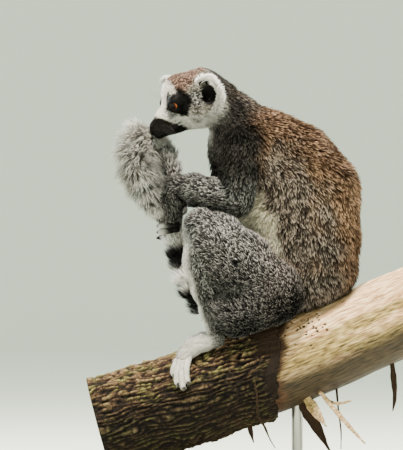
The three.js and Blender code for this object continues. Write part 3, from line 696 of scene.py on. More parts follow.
def tail_colours(points, normals):
    along = chain_place(points, PARTS["tail"][0])[1]
    ring = (along - RING_SHIFT + 2.5 * wobble(points, 9, 3)) / RING_LENGTH % 1
    dark = smooth_step(ring, 0.38, 0.46) * (1 - smooth_step(ring, 0.94, 1.0))
    fur = dyed(plain("white", len(points)), "black", dark)
    inner_ring = (along - BEND_START + 2 * wobble(points, 7, 4)) / BEND_RING % 1
    dark = smooth_step(inner_ring, 0.0, 0.12) * smooth_step(inner_ring, 0.55, 0.43)
    root, tip = plain("ash", len(points))
    shaded = smooth_step(-normals[:, 0], -0.3, 0.4) * smooth_step(along, 322, 306)
    bushy = dyed((root * (1 - 0.85 * dark[:, None]), tip), "black", 0.9 * shaded)
    fur = mixed(fur, bushy, smooth_step(along, 208, 222))
    return dyed(fur, "black", smooth_step(along, 424, 430))


PART_COLOURS = {"trunk": trunk_colours, "neck": neck_colours, "head": head_colours, "tail": tail_colours}


def part_flow(part, points):
    """Way that the hair of a part lies."""
    if part == "head":
        return np.tile(-HEAD_FORWARD, (len(points), 1)) - 0.25 * HEAD_UP
    way = chain_place(points, PARTS[part][0])[0]
    droop = {"trunk": (0.1, 0, -0.45), "neck": (0, 0, -0.2)}
    return np.array(droop[part]) - way if part in droop else way


def on_part(plan, name):
    return plan["part"] == ALL_PARTS.index(name)


def coat_plan(points, normals):
    """Everything that the coat needs to know at points of the body's skin."""
    near = np.stack([part_field(name, points) for name in ALL_PARTS], 1)
    weights = np.exp(-np.clip(near - near.min(1, keepdims=True), 0, 40) / 2.5)
    weights /= weights.sum(1, keepdims=True)
    plan = {key: np.zeros((len(points), 3)) for key in ("flow", "root", "tip")}
    style = np.zeros((len(points), 4))
    for n, name in enumerate(ALL_PARTS):
        used = weights[:, n] > 0.01
        share = weights[used, n][:, None]
        place = (points[used], normals[used])
        root, tip = PART_COLOURS[name](*place) if name in PART_COLOURS else limb_colours(name, *place)
        plan["root"][used] += share * root
        plan["tip"][used] += share * tip
        plan["flow"][used] += share * part_flow(name, points[used])
        kind = name.replace("_left", "").replace("_right", "")
        style[used] += share * np.array(COATS[kind])
    plan["length"], plan["lift"], plan["width"], plan["density"] = style.T
    plan["part"] = near.argmin(1)
    shape_head_coat(plan, points)
    shape_tail_coat(plan, points)
    shape_flank_coat(plan, points)
    return plan


def shape_head_coat(plan, points):
    """Short hair on the face, none on the lids, nose and lips."""
    p = into_head(points)
    on_head = on_part(plan, "head")
    face = smooth_step(p[:, 0], 20, 48) * on_head
    for key, least in FACE_COAT.items():
        plan[key] = plan[key] * (1 - face) + least * face
    plan["density"] = plan["density"] * (1 + 1.4 * face)
    bare = limb(p, NOSE) < 1.0
    bare |= np.minimum(limb(p, MOUTH), limb(p, mirrored(MOUTH))) < 0.8
    bare |= np.min([limb(p, hollow) for hollow in EAR_HOLLOWS], axis=0) < 1.5
    for side in (1, -1):
        offset, distance = from_eye(p, side)
        bare |= distance < EYE_RADIUS + 0.5
        around = on_head & (distance < EYE_RADIUS + 6)
        shorter = smooth_step(distance, EYE_RADIUS + 1, EYE_RADIUS + 6)[around]
        plan["length"][around] *= 0.45 + 0.55 * shorter
        plan["lift"][around] *= 0.6 + 0.4 * shorter
        away = unit(offset) @ HEAD_TURN
        plan["flow"][around] += (1.2 * (1 - shorter)[:, None]) * away[around]
    plan["density"][on_head & bare] = 0
    plan["root"][on_head & bare] = BARE_SKIN


def shape_tail_coat(plan, points):
    """Hair of the tail is as long as the solids say, and stands out at the bend."""
    on_tail = np.flatnonzero(on_part(plan, "tail"))
    rows = joints(PARTS["tail"][0])
    reach = np.concatenate([[0], np.cumsum(np.linalg.norm(np.diff(rows[:, :3], axis=0), axis=1))])
    along = chain_place(points[on_tail], rows)[1]
    lift = np.interp(along, [0, 150, 250, 300, 330, 390, 430], [24, 26, 30, 40, 55, 50, 30])
    stretch = np.interp(along, [0, 240, 300, 400, 430], [0.95, 0.95, 1.2, 1.2, 1.0])
    plan["lift"][on_tail] = lift
    plan["length"][on_tail] = np.interp(along, reach, rows[:, 5]) / np.sin(np.radians(lift)) * stretch


def shape_flank_coat(plan, points):
    """Longer pale hair that fans forward from the flank behind each elbow."""
    x, z, radius = FLANK_FAN
    from_middle = np.hypot(points[:, 0] - x, points[:, 2] - z)
    fan = np.exp(-(from_middle / radius) ** 2) * on_part(plan, "trunk")
    plan["flow"] += 6 * fan[:, None] * np.array([-1, 0, -0.1])
    plan["length"] *= 1 + 0.7 * fan
    plan["lift"] += 12 * fan


# ---- Fingers, toes and ears ----
def smooth_path(rows, count):
    """Points on a smooth curve through the rows, each with its radius."""
    rows = np.array([row[:4] for row in rows], float)
    ends = np.vstack([2 * rows[0] - rows[1], rows, 2 * rows[-1] - rows[-2]])
    place = np.linspace(0, len(rows) - 1 - 1e-9, count)
    n = place.astype(int)
    t = (place - n)[:, None]
    a, b, c, d = (ends[n + i] for i in range(4))
    return 0.5 * (2 * b + (c - a) * t + (2 * a - 5 * b + 4 * c - d) * t ** 2 + (3 * b - a - 3 * c + d) * t ** 3)


def digit(rows, away_from, kind):
    """Round-ended digit along the rows with two knuckles, its coat, and its nail's place. Its back faces
    away from a point."""
    sides, rings = 12, 22
    path = smooth_path(rows, rings)
    centre, radius = path[:, :3], path[:, 3] - 0.5
    way = unit(np.gradient(centre, axis=0))
    back = centre - away_from
    back = unit(back - along_unit(back, way) * way)
    side = np.cross(way, back)
    place = np.linspace(0, 1, rings)
    radius = radius * (1 + sum(0.09 * np.exp(-((place - j) / 0.07) ** 2) for j in (0.36, 0.68)))
    radius = radius * np.sqrt(np.clip(1 - ((place - 0.86) / 0.145).clip(0) ** 2, 0.02, 1))
    dorsal = np.tile(np.cos(np.linspace(0, 2 * math.pi, sides, endpoint=False)), rings)
    place = np.repeat(place, sides)
    # on the fingers the hair is painted dark near the palm as shade and pale only at the ends; the toes are pale all
    # along
    pale = 0.6 * smooth_step(place, 0.35, 0.65) if kind == "hand" else np.full(len(place), 0.95)
    root, tip = dyed(plain("charcoal", len(place)), "white", pale)
    furred = smooth_step(dorsal, -0.1, 0.4) * smooth_step(place, 0.97, 0.8)
    wall, *ends = tube_faces(rings, sides)
    shape = {
        "points": rings_round(centre, radius[:, None] * back, radius[:, None] * side, sides, top=0.92),
        "faces": [np.roll(wall, -1, 1), *ends],
        "flow": np.repeat(way, sides, 0),
        "root": BARE_SKIN + (root - BARE_SKIN) * furred[:, None],
        "tip": tip,
        "density": 60 * furred,
        "length": 3.4, "lift": 16.0, "width": 0.7, "dorsal": dorsal, "place": place, "coat": "hands_feet",
    }
    return shape, (centre[-2] + 0.35 * radius[0] * back[-2], way[-2], back[-2], side[-2], path[-1, 3])


def digits():
    """Fingers, thumbs and toes, each with its nail's place."""
    made = []
    hands = []
    for n in range(4):
        z = FINGER_TOP - FINGER_PITCH * n
        rows = [(-62, -16, z + 1, 4.0), (-71, -19.5, z - 1, 3.6)]
        rows += [(-79, -15.5, z - 2.5, 3.3), (-83.5, -6, z - 3, 2.8)]
        hands.append((rows, z - GRIP[2]))
    for rows, up in (*hands, (THUMB, 10)):
        for turned, rise in ((rows, 0), (mirrored(rows), RIGHT_HAND_RISE)):
            made.append(digit(raised(turned, rise), GRIP + (0, 0, up + rise), "hand"))
    feet = []
    for base, tip, reach in TOES:
        knuckle = on_branch((base + tip) / 2 - 2, (41 + reach) / 2, 6.4, 3.9)
        rows = [on_branch(base, 41, 6, 4.6), knuckle]
        rows += [on_branch(tip, reach - 6, 4.6, 3.7), on_branch(tip, reach, 3.4, 3.2)]
        feet.append((rows, tip))
    for rows, x in (*feet, (BIG_TOE, -28)):
        for turned in (rows, mirrored(rows)):
            made.append(digit(turned, from_axis(np.float64(x), 0, 0), "foot"))
    return made


def ear(name, side):
    """Cupped ear, a closed shell whose hollow faces its opening. side is 1 for the left ear."""
    root, tip, opening = (np.array(v, float) for v in EARS[name])
    across, along = 29, 21
    u, v = np.meshgrid(np.linspace(0, 1, along), np.linspace(-1, 1, across), indexing="ij")
    half = EAR_HALF_WIDTH * np.sqrt(np.clip(1 - ((u - 0.35) / 0.65) ** 2, 0.02, 1))
    cup = EAR_CUP * (v * v - 1) * (1 - 0.5 * u) + 1.6 * np.exp(-((np.abs(v) - 0.86) / 0.1) ** 2)
    axis = unit(tip)
    hollow = unit(opening - (opening @ axis) * axis)
    ways = np.array([np.cross(hollow, axis), hollow, axis])
    middle = np.stack([v * half, cup, u * EAR_LENGTH], -1).reshape(-1, 3) @ ways + root
    wall = (0.9 * (1.1 - 0.5 * u * u - 0.3 * v * v)).reshape(-1, 1) * hollow
    inside = np.repeat([1.0, 0.0], across * along)
    u, v, half = (np.tile(x.reshape(-1), 2) for x in (u, v, half))
    rimmed = np.maximum(smooth_step(np.abs(v), 0.62, 0.85), smooth_step(u, 0.62, 0.85))
    up_ear, over_ear = u * EAR_LENGTH, v * half * side
    open_part = np.minimum(
        np.hypot(up_ear - 13.5, over_ear - 0.5) / 8.5,
        np.hypot((up_ear - 23) / 5.4, (over_ear - 9) / 7.6),
    )
    trimmed = 0.6 * inside * smooth_step(open_part, 2.2, 1.1)
    dark = inside * smooth_step(open_part, 1.2, 0.85)
    furred = np.maximum(1 - inside, rimmed) * (1 - dark)
    fur_root, fur_tip = plain("ear", len(u))
    return {
        "points": from_head(np.concatenate([middle + wall, middle - wall])),
        "faces": shell_faces(along, across),
        "flow": unit(np.stack([v * 0.9, 0 * v, 0.25 + u], 1) @ ways @ HEAD_TURN),
        "root": BARE_SKIN + (fur_root - BARE_SKIN) * furred[:, None],
        "tip": fur_tip,
        "density": 160 * furred * (1 + rimmed),
        "length": (5.5 + 3.5 * rimmed) * (1 - trimmed),
        "lift": 26 + 14 * rimmed,
        "width": 0.95, "dorsal": 1 - inside, "place": u, "coat": "ears",
    }


# ---- Coat ----
COAT_OF = {"trunk": "trunk_left", "neck": "neck", "head": "head", "tail": "tail"}
for side_name in ("left", "right"):
    for kind in ("upper_arm", "forearm"):
        COAT_OF[f"{kind}_{side_name}"] = f"arm_{side_name}"
for side_name in ("left", "right"):
    COAT_OF[f"thigh_{side_name}"] = f"thigh_{side_name}"
for kind, coat in (("shank", "shanks"), ("hand", "hands_feet"), ("foot", "hands_feet")):
    COAT_OF.update({f"{kind}_{side_name}": coat for side_name in ("left", "right")})
COATS_MADE = [*dict.fromkeys(COAT_OF.values()), "trunk_right", "face", "ears"]
FACE_START = 14  # the face's coat is a piece of its own from here forward
MOST_TUFTS = 19000
PATCH = 0.003  # width of a tuft's patch on the coat's map


def chart(points, parts):
    """Place of each point on an unwrap of the skin: round each part and along it, one chart for each part."""
    uv = np.zeros((len(points), 2))
    for n, name in enumerate(ALL_PARTS):
        chosen = parts == n
        if name == "head":
            p = into_head(points[chosen]) - (8, 0, 0)
            turn = np.arctan2(p[:, 1], p[:, 2])
            share = np.arccos(np.clip(-unit(p)[:, 0], -1, 1)) / math.pi
        else:
            _, along, turn, length = chain_place(points[chosen], PARTS[name][0])
            share = along / length
        mates = [m for m in ALL_PARTS if COAT_OF[m] == COAT_OF[name]]
        uv[chosen, 0] = (mates.index(name) + 0.04 + 0.92 * (turn / (2 * math.pi) + 0.5)) / len(mates)
        uv[chosen, 1] = 0.02 + 0.96 * share
    return uv


def skin_shape():
    """The whole skin with what the coat needs at each of its points, and the nails' places."""
    mesh = body_mesh()
    points = mesh_points(mesh)
    plan = coat_plan(points, mesh_normals(mesh))
    mesh.calc_loop_triangles()
    faces = [triples(mesh.loop_triangles, "vertices", np.int32)]
    bpy.data.meshes.remove(mesh)
    coats = np.array([COATS_MADE.index(COAT_OF[name]) for name in ALL_PARTS])
    plan.update(points=points, coat=coats[plan["part"]], uv=chart(points, plan["part"]))
    plan["coat"][on_part(plan, "head") & (into_head(points)[:, 0] > FACE_START)] = COATS_MADE.index("face")
    plan["coat"][on_part(plan, "trunk") & (points[:, 1] > 0)] = COATS_MADE.index("trunk_right")
    more, nails = zip(*digits())
    more = [*more, ear("left", 1), ear("right", -1)]
    keys = ("points", "flow", "root", "tip", "length", "lift", "width", "density", "coat", "uv")
    total = {key: [plan[key]] for key in keys}
    shift = len(points)
    for n, shape in enumerate(more):
        count = len(shape["points"])
        column = n / len(more)
        shape["uv"] = np.stack([column + 0.9 * shape["place"] / len(more), 0.5 + 0.4 * shape["dorsal"]], 1)
        shape["coat"] = COATS_MADE.index(shape["coat"])
        for key in keys:
            total[key].append(np.full(count, shape[key]) if np.isscalar(shape[key]) else shape[key])
        for f in shape["faces"]:
            faces += [f[:, [0, i, i + 1]] + shift for i in range(1, f.shape[1] - 1)]
        shift += count
    skin = {key: np.concatenate(value) for key, value in total.items()}
    skin["faces"] = np.concatenate(faces)
    return skin, nails


def sample(skin, normals, coat):
    """Roots of one coat's tufts, evenly strewn over its stretch of the skin."""
    corners = skin["points"][skin["faces"]]
    area = np.linalg.norm(np.cross(corners[:, 1] - corners[:, 0], corners[:, 2] - corners[:, 0]), axis=1) / 2
    weight = area / 100 * skin["density"][skin["faces"]].mean(1)
    weight[skin["coat"][skin["faces"][:, 0]] != coat] = 0
    count = int(min(weight.sum(), MOST_TUFTS))
    steps = np.cumsum(weight) / weight.sum()
    chosen = np.searchsorted(steps, (np.arange(count) + rng.random(count)) / count)
    a, b = rng.random(count), rng.random(count)
    a, b = np.where(a + b > 1, 1 - a, a), np.where(a + b > 1, 1 - b, b)
    share = np.stack([1 - a - b, a, b], 1)
    faces = skin["faces"][chosen]

    def at(values):
        values = values[faces]
        return (values * share.reshape(share.shape + (1,) * (values.ndim - 2))).sum(1)

    tufts = {key: at(skin[key]) for key in ("points", "flow", "root", "tip", "length", "lift", "width")}
    tufts["normal"] = unit(at(normals))
    tufts["uv"] = skin["uv"][faces[:, 0]]
    return tufts


def clumped(tips, roots, size, share):
    """Draws tips whose roots lie in the same small cell together, so that the hair forms locks."""
    jitter = np.stack([wobble(roots, size * 2.5, 60 + i) for i in range(3)], 1) * size * 0.8
    cell = np.floor((roots + jitter) / size).astype(int)
    _, index, counts = np.unique(cell, axis=0, return_inverse=True, return_counts=True)
    index = index.reshape(-1)
    middle = np.stack([np.bincount(index, tips[:, i]) for i in range(3)], 1) / counts[:, None]
    return tips + share * (middle[index] - tips), index


# Corners of a tuft: three at its root, three half way along and its tip; and where they lie on its patch.
TUFT_FACES = np.array([
    [0, 1, 4], [0, 4, 3], [1, 2, 5], [1, 5, 4], [2, 0, 3], [2, 3, 5], [3, 4, 6], [4, 5, 6], [5, 3, 6], [0, 2, 1],
])
TUFT_MAP = np.array([[-1, -1], [1, -1], [0, -1], [-0.8, 0], [0.8, 0], [0, 0], [0, 1]]) * PATCH / 2


def coat_mesh(name, tufts):
    """Closed, three-sided tufts that lie along the flow of the coat, gathered into locks."""
    count = len(tufts["points"])
    normal = tufts["normal"]
    flow = unit(tufts["flow"] - along_unit(tufts["flow"], normal) * normal)
    sway = 0.35 * wobble(tufts["points"], 14, 21) + 0.2 * rng.normal(size=count)
    flow = unit(flow + sway[:, None] * np.cross(normal, flow))
    side = np.cross(normal, flow)
    length = (tufts["length"] * rng.uniform(0.75, 1.15, count))[:, None]
    lift = np.radians(tufts["lift"] * rng.uniform(0.75, 1.25, count))[:, None]
    root = tufts["points"] - 0.5 * normal
    first, second = lift * 1.25, lift * 0.75
    middle = root + 0.65 * length * (np.cos(first) * flow + np.sin(first) * normal)
    tip = middle + 0.35 * length * (np.cos(second) * flow + np.sin(second) * normal)
    lock_size = np.clip(1.6 * tufts["width"].mean(), 1.3, 3)
    tip, lock = clumped(tip, tufts["points"], lock_size, 0.4)
    middle, _ = clumped(middle, tufts["points"], lock_size, 0.2)
    wide = 0.5 * tufts["width"][:, None] * rng.uniform(0.8, 1.2, (count, 1))
    rise = np.cross(side, flow * np.cos(lift) + normal * np.sin(lift))
    corners = []
    for centre, share in ((root, 0.9), (middle, 0.8)):
        corners += [centre + wide * share * side, centre - wide * share * side, centre + 0.5 * wide * rise]
    points = np.stack([*corners, tip], 1).reshape(-1, 3)
    faces = (7 * np.arange(count)[:, None, None] + TUFT_FACES).reshape(-1, 3)
    mesh = new_mesh(name, points, [faces])
    light = np.random.default_rng(5).random(lock.max() + 1)[lock] * 0.6 + rng.random(count) * 0.4
    light = smooth_step(light, 0.3, 0.7)[:, None]
    tone = rng.uniform(0.8, 1.2, (count, 1))
    dark = tufts["root"] * tone
    bright = (tufts["root"] + (tufts["tip"] - tufts["root"]) * (0.12 + 0.88 * light)) * tone
    half = 0.9 * dark + 0.1 * bright
    paint(mesh, np.stack([dark] * 3 + [half] * 3 + [bright], 1).reshape(-1, 3))
    uv = np.clip(tufts["uv"][:, None] + TUFT_MAP, 0, 1).reshape(-1, 2)
    lay_map(mesh, "OFBake", uv[faces.ravel()])
    return mesh


def lay_map(mesh, name, uv):
    mesh.uv_layers.new(name=name).data.foreach_set("uv", uv.astype(np.float32).ravel())


def paint(mesh, colours):
    layer = mesh.color_attributes.new(name="coat_colour", type="FLOAT_COLOR", domain="POINT")
    with_alpha = np.concatenate([np.clip(colours, 0, 1), np.ones((len(colours), 1))], 1)
    layer.data.foreach_set("color", with_alpha.astype(np.float32).ravel())


# ---- Materials ----
def rgba(code):
    return (*linear(code), 1)


def add(tree, kind, inputs, output=0, stops=(), **settings):
    """Adds a node with its settings, linked or set inputs and colour stops, and gives one of its outputs."""
    node = tree.nodes.new(f"ShaderNode{kind}")
    for key, value in settings.items():
        setattr(node, key, value)
    for key, value in inputs.items():
        if isinstance(value, bpy.types.NodeSocket):
            tree.links.new(value, node.inputs[key])
        else:
            node.inputs[key].default_value = value
    for n, (place, code) in enumerate(stops):
        elements = node.color_ramp.elements
        element = elements[n] if n < 2 else elements.new(place)
        element.position = place
        element.color = rgba(code)
    return node.outputs[output]


def material_of(surface):
    """Material named for its surface, a function that gives the shader's inputs from Object coordinates."""
    material = bpy.data.materials.new(surface.__name__)
    material.use_nodes = True
    tree = material.node_tree
    tree.nodes.clear()
    shader = add(tree, "BsdfPrincipled", surface(tree, add(tree, "TexCoord", {}, "Object")))
    tree.links.new(shader, tree.nodes.new("ShaderNodeOutputMaterial").inputs["Surface"])
    return material


def lemur_guard_hair(tree, place):
    """Guard hair: dull, with a faint sheen, each lock a little lighter or darker than the next."""
    colour = add(tree, "Attribute", {}, "Color", attribute_name="coat_colour")
    strands = add(tree, "TexNoise", {"Vector": place, "Scale": 1 / (1.5 * MM), "Detail": 2})
    limits = {"From Min": 0.3, "From Max": 0.7, "To Min": 0.8, "To Max": 1.2}
    tone = add(tree, "MapRange", {"Value": strands, **limits})
    shade = add(tree, "VectorMath", {0: colour, 1: tone}, operation="MULTIPLY")
    return {"Base Color": shade, "Roughness": 0.75, "Specular IOR Level": 0.06}


def lemur_hide(tree, place):
    """Hide under the coat: the coat's own markings, with the grain of short hair and bare black skin."""
    colour = add(tree, "Attribute", {}, "Color", attribute_name="coat_colour")
    grain = add(tree, "TexNoise", {"Vector": place, "Scale": 1 / (0.8 * MM), "Detail": 3})
    bump = add(tree, "Bump", {"Height": grain, "Strength": 0.5, "Distance": 0.4 * MM})
    return {"Base Color": colour, "Roughness": 0.55, "Specular IOR Level": 0.08, "Normal": bump}


def wet_orange_eye(tree, _):
    """Living eye: wet cornea over a fibrous orange iris, with a dark rim and a black pupil."""
    split = tree.nodes.new("ShaderNodeSeparateXYZ")
    tree.links.new(add(tree, "UVMap", {}, uv_map="gaze"), split.inputs[0])
    round_share, polar = split.outputs[0], split.outputs[1]
    turn = add(tree, "Math", {0: round_share, 1: 2 * math.pi}, operation="MULTIPLY")
    x, y = (add(tree, "Math", {0: turn}, operation=wave) for wave in ("COSINE", "SINE"))
    spoke = add(tree, "CombineXYZ", {0: x, 1: y, 2: polar})
    fibres = add(tree, "TexNoise", {"Vector": spoke, "Scale": 9, "Detail": 4})
    wave = add(tree, "Math", {0: fibres, 1: 0.02, 2: polar}, operation="MULTIPLY_ADD")
    stops = [
        (PUPIL_EDGE, "#010101"), (PUPIL_EDGE + 0.06, "#4a1800"), (PUPIL_EDGE + 0.2, "#b8580a"),
        (IRIS_EDGE - 0.12, "#742c00"), (IRIS_EDGE - 0.04, "#0a0402"), (IRIS_EDGE + 0.1, "#020101"),
    ]
    colour = add(tree, "ValToRGB", {0: wave}, stops=[(angle / math.pi + 0.01, code) for angle, code in stops])
    return {
        "Base Color": colour, "Roughness": 0.6, "IOR": 1.376, "Specular IOR Level": 0.05,
        "Coat Weight": 0.2, "Coat Roughness": 0.02,
    }


def dark_horn(tree, place):
    """Horn of the nails: black-brown and slightly polished, with fine lines."""
    lines = add(tree, "TexNoise", {"Vector": place, "Scale": 1 / (0.7 * MM)})
    tone = add(tree, "ValToRGB", {0: lines}, stops=[(0, "#120e0c"), (1, "#38302a")])
    return {"Base Color": tone, "Roughness": 0.3, "IOR": 1.54}


def furrowed_bark(tree, place):
    """Old bark: dry and dull, olive algae on the ridges, with painted shade in its furrows and on its underside."""
    names = ("height", "worn", "under")
    height, worn, under = (add(tree, "Attribute", {}, "Fac", attribute_name=name) for name in names)
    patches = add(tree, "TexNoise", {"Vector": place, "Scale": 1 / (15 * MM), "Detail": 4})
    grit = add(tree, "TexNoise", {"Vector": place, "Scale": 1 / (1.4 * MM), "Detail": 5})
    # painted shade: the lower the bark lies between its ridges, the darker the ramps below paint it
    uneven = add(tree, "Math", {0: height, 1: 0.75, 2: -0.12}, operation="MULTIPLY_ADD")
    uneven = add(tree, "Math", {0: grit, 1: 0.5, 2: uneven}, operation="MULTIPLY_ADD")
    dry = [(0.25, "#090604"), (0.5, "#2a1e15"), (0.72, "#5b4732"), (0.95, "#a08a64")]
    mossy = [(0.25, "#090704"), (0.5, "#2c2716"), (0.72, "#5f5933"), (0.95, "#a39c62")]
    dry, mossy = (add(tree, "ValToRGB", {0: uneven}, stops=stops) for stops in (dry, mossy))
    raw = add(tree, "ValToRGB", {0: grit}, stops=[(0.3, "#170f09"), (0.7, "#39281b")])
    share = add(tree, "MapRange", {"Value": patches, "From Min": 0.48, "From Max": 0.62})
    # painted shade: the bark is darkened towards its underside
    painted_underside_shade = add(tree, "Math", {0: under, 1: 0.78}, operation="MULTIPLY")
    colour = dry
    for cover, over in ((share, mossy), (worn, raw), (painted_underside_shade, rgba("#0d0907"))):
        colour = add(tree, "Mix", {"Factor": cover, "A": colour, "B": over}, "Result", data_type="RGBA")
    bump = add(tree, "Bump", {"Height": grit, "Strength": 0.8, "Distance": 0.9 * MM})
    return {"Base Color": colour, "Roughness": 0.92, "Specular IOR Level": 0.2, "Normal": bump}


def weathered_bare_wood(tree, place):
    """Weathered wood without its bark: pale tan, silky along the grain, bored by beetles, with sawn ends; painted
    shade darkens its underside, holes and cracks.
    """
    lean = math.atan(BRANCH_RISE + BRANCH_BEND * BRANCH_END)
    turned = {"Vector": place, "Rotation": (0, -lean, 0), "Scale": (7, 1, 1)}
    along = add(tree, "Mapping", turned, vector_type="TEXTURE")
    fibre = add(tree, "TexNoise", {"Vector": along, "Scale": 1 / (1.8 * MM), "Detail": 6})
    cloud = add(tree, "TexNoise", {"Vector": along, "Scale": 1 / (15 * MM), "Detail": 4})
    names = ("ring", "sawn", "pit", "peeled", "under", "side")
    ring, sawn, pit, peeled, under, side = (add(tree, "Attribute", {}, "Fac", attribute_name=name) for name in names)
    tan = [(0.32, "#8c6442"), (0.5, "#cda67c"), (0.66, "#f0d6b2")]
    olive = [(0.3, "#3a2f18"), (0.48, "#86703f"), (0.66, "#b9a26c")]
    painted_underside_shade = [(0.32, "#0d0905"), (0.66, "#261a0f")]
    inner_bark = [(0.3, "#22150d"), (0.7, "#5c3f28")]
    tan, olive, painted_underside_shade, inner_bark = (
        add(tree, "ValToRGB", {0: fibre}, stops=stops) for stops in (tan, olive, painted_underside_shade, inner_bark)
    )
    patchy = add(tree, "Math", {0: side, 1: 0.16, 2: cloud}, operation="MULTIPLY_ADD")
    patchy = add(tree, "MapRange", {"Value": patchy, "From Min": 0.5, "From Max": 0.66})
    # painted shade: the wood is darkened towards its underside
    painted_shade_share = add(tree, "Math", {0: under, 1: 0.93}, operation="MULTIPLY")
    wave = add(tree, "Math", {0: ring, 1: 80.0}, operation="MULTIPLY")
    wave = add(tree, "Math", {0: cloud, 1: 8.0, 2: wave}, operation="MULTIPLY_ADD")
    wave = add(tree, "Math", {0: wave}, operation="SINE")
    cut = add(tree, "ValToRGB", {0: wave}, stops=[(0.0, "#c49a68"), (0.9, "#7c5532")])
    # painted shade lies underneath and in the holes and cracks
    layers = ((patchy, olive), (painted_shade_share, painted_underside_shade), (peeled, inner_bark), (sawn, cut), (pit, rgba("#140c07")))
    colour = tan
    for cover, over in layers:
        colour = add(tree, "Mix", {"Factor": cover, "A": colour, "B": over}, "Result", data_type="RGBA")
    bump = add(tree, "Bump", {"Height": fibre, "Strength": 0.4, "Distance": 0.4 * MM})
    return {"Base Color": colour, "Roughness": 0.72, "Specular IOR Level": 0.3, "Normal": bump}


def stained_oak(tree, place):
    """Oak board, stained dark and lacquered satin: long grain with open pores."""
    along = add(tree, "Mapping", {"Vector": place, "Scale": (0.06, 1, 1)})
    grain = add(tree, "TexNoise", {"Vector": along, "Scale": 1 / (3.5 * MM), "Detail": 6, "Distortion": 0.6})
    pores = add(tree, "TexNoise", {"Vector": along, "Scale": 1 / (0.8 * MM), "Detail": 2})
    colour = add(tree, "ValToRGB", {0: grain}, stops=[(0.3, "#1d120c"), (0.55, "#3d281b"), (0.75, "#573a27")])
    bump = add(tree, "Bump", {"Height": pores, "Strength": 0.2, "Distance": 0.2 * MM})
    return {"Base Color": colour, "Roughness": 0.45, "Coat Weight": 0.4, "Coat Roughness": 0.25, "Normal": bump}


def brushed_steel(tree, place):
    """Round steel bar, brushed along its length."""
    along = add(tree, "Mapping", {"Vector": place, "Scale": (1, 1, 0.03)})
    brushed = add(tree, "TexNoise", {"Vector": along, "Scale": 1 / (0.5 * MM), "Detail": 3})
    rough = add(tree, "MapRange", {"Value": brushed, "To Min": 0.22, "To Max": 0.4})
    bump = add(tree, "Bump", {"Height": brushed, "Strength": 0.1, "Distance": 0.05 * MM})
    return {"Base Color": rgba("#b3b0aa"), "Metallic": 1.0, "Roughness": rough, "Normal": bump}


def pale_paper(tree, place):
    """Matt backdrop paper with a faint tooth."""
    grain = add(tree, "TexNoise", {"Vector": place, "Scale": 300})
    bump = add(tree, "Bump", {"Height": grain, "Strength": 0.05, "Distance": 0.1 * MM})
    return {"Base Color": rgba("#dfe6da"), "Roughness": 0.9, "Normal": bump}


# ---- Eyes, nails and whiskers ----
def eyeball_mesh(side):
    """Ball with a slightly raised cornea; its map runs from the middle of the pupil (0) to the back (1)."""
    rings, sides = 47, 64
    forward, across, up = eye_axes(side)
    angle = np.linspace(math.pi, 0, rings + 2)[1:-1]
    flat = EYE_RADIUS - CORNEA_RISE
    radius = (flat + CORNEA_RISE * smooth_step(angle, math.radians(62), math.radians(40)))[:, None]
    out = radius * np.sin(angle)[:, None]
    points = rings_round(radius * np.cos(angle)[:, None] * forward, out * across, out * up, sides)
    points = np.concatenate([points, [-flat * forward, EYE_RADIUS * forward]]) + EYE_AT * (1, side, 1)
    faces = tube_faces(rings, sides, hubs=(rings * sides, rings * sides + 1))
    mesh = new_mesh(f"eyeball_{'left' if side > 0 else 'right'}", from_head(points), faces)
    polar = np.append(np.repeat(angle, sides), [math.pi, 0]) / math.pi
    round_share = np.append(np.tile(np.arange(sides) / sides, rings), [0, 0])
    corner = np.concatenate([f.ravel() for f in faces])
    lay_map(mesh, "gaze", np.stack([round_share, polar], 1)[corner])
    return mesh


def nails_mesh(nails):
    """Small dark nails, each a curved plate over the end of a digit."""
    along, across = 6, 7
    u = np.linspace(0, 1, along)[:, None, None]
    v = np.linspace(-1, 1, across)[None, :, None]
    points, faces = [], []
    for n, (centre, way, back, side, radius) in enumerate(nails):
        width = 0.58 * radius * np.sqrt(np.maximum(1 - (0.8 * u) ** 4, 0.05))
        lift = radius * (0.5 - 0.4 * v * v) + 0.2 * np.sin(math.pi * u)
        plate = centre + (4.2 * u - 2.2) * way + width * v * side + lift * back
        points += [plate + 0.4 * back, plate]
        faces += [f[:, ::-1] for f in shell_faces(along, across, 2 * n * along * across)]
    return new_mesh("nails", np.array(points).reshape(-1, 3), faces)


def whiskers_mesh():
    """Long tapered whiskers on the upper lip and over the eyes, rooted in the skin."""
    own = np.random.default_rng(91)
    roots, ways = [], []
    for side in (1, -1):
        for row in range(3):
            for n in range(5):
                roots.append((41 + 3.1 * n + 0.8 * row, side * 7.5, -3.0 - 2.3 * row))
                forward = 0.25 - 0.12 * n + 0.2 * own.normal()
                ways.append((forward, side, -0.25 - 0.2 * row + 0.12 * own.normal()))
        for n in range(3):
            roots.append((34 - 2 * n, side * (7 + 2.5 * n), 18))
            ways.append((0.5 - 0.15 * n, side * (0.25 + 0.15 * n), 0.8 + 0.1 * own.normal()))
    roots = onto_surface(from_head(roots), skin_field)
    ways = unit(ways) @ HEAD_TURN
    points, faces = [], []
    sides, rings = 5, 9
    share = np.linspace(0, 1, rings)[:, None]
    radius = 0.12 * (1 - 0.85 * share)
    for n, (root, way) in enumerate(zip(roots, ways)):
        length = own.uniform(15, 24)
        centre = root - 0.6 * way + share * length * way + (share ** 2) * length * np.array([0.12, 0, -0.16])
        across = unit(np.cross(way, (0, 0, 1)))
        points.append(rings_round(centre, radius * across, radius * np.cross(way, across), sides))
        faces += tube_faces(rings, sides, n * sides * rings)
    return new_mesh("whiskers", np.concatenate(points), faces)


# ---- Branch ----
def round_branch(places, radius, turns):
    """Points round the branch: places along it, distances from its axis and turns from the top."""
    return from_axis(places, -radius * np.sin(turns), radius * np.cos(turns)).reshape(-1, 3)


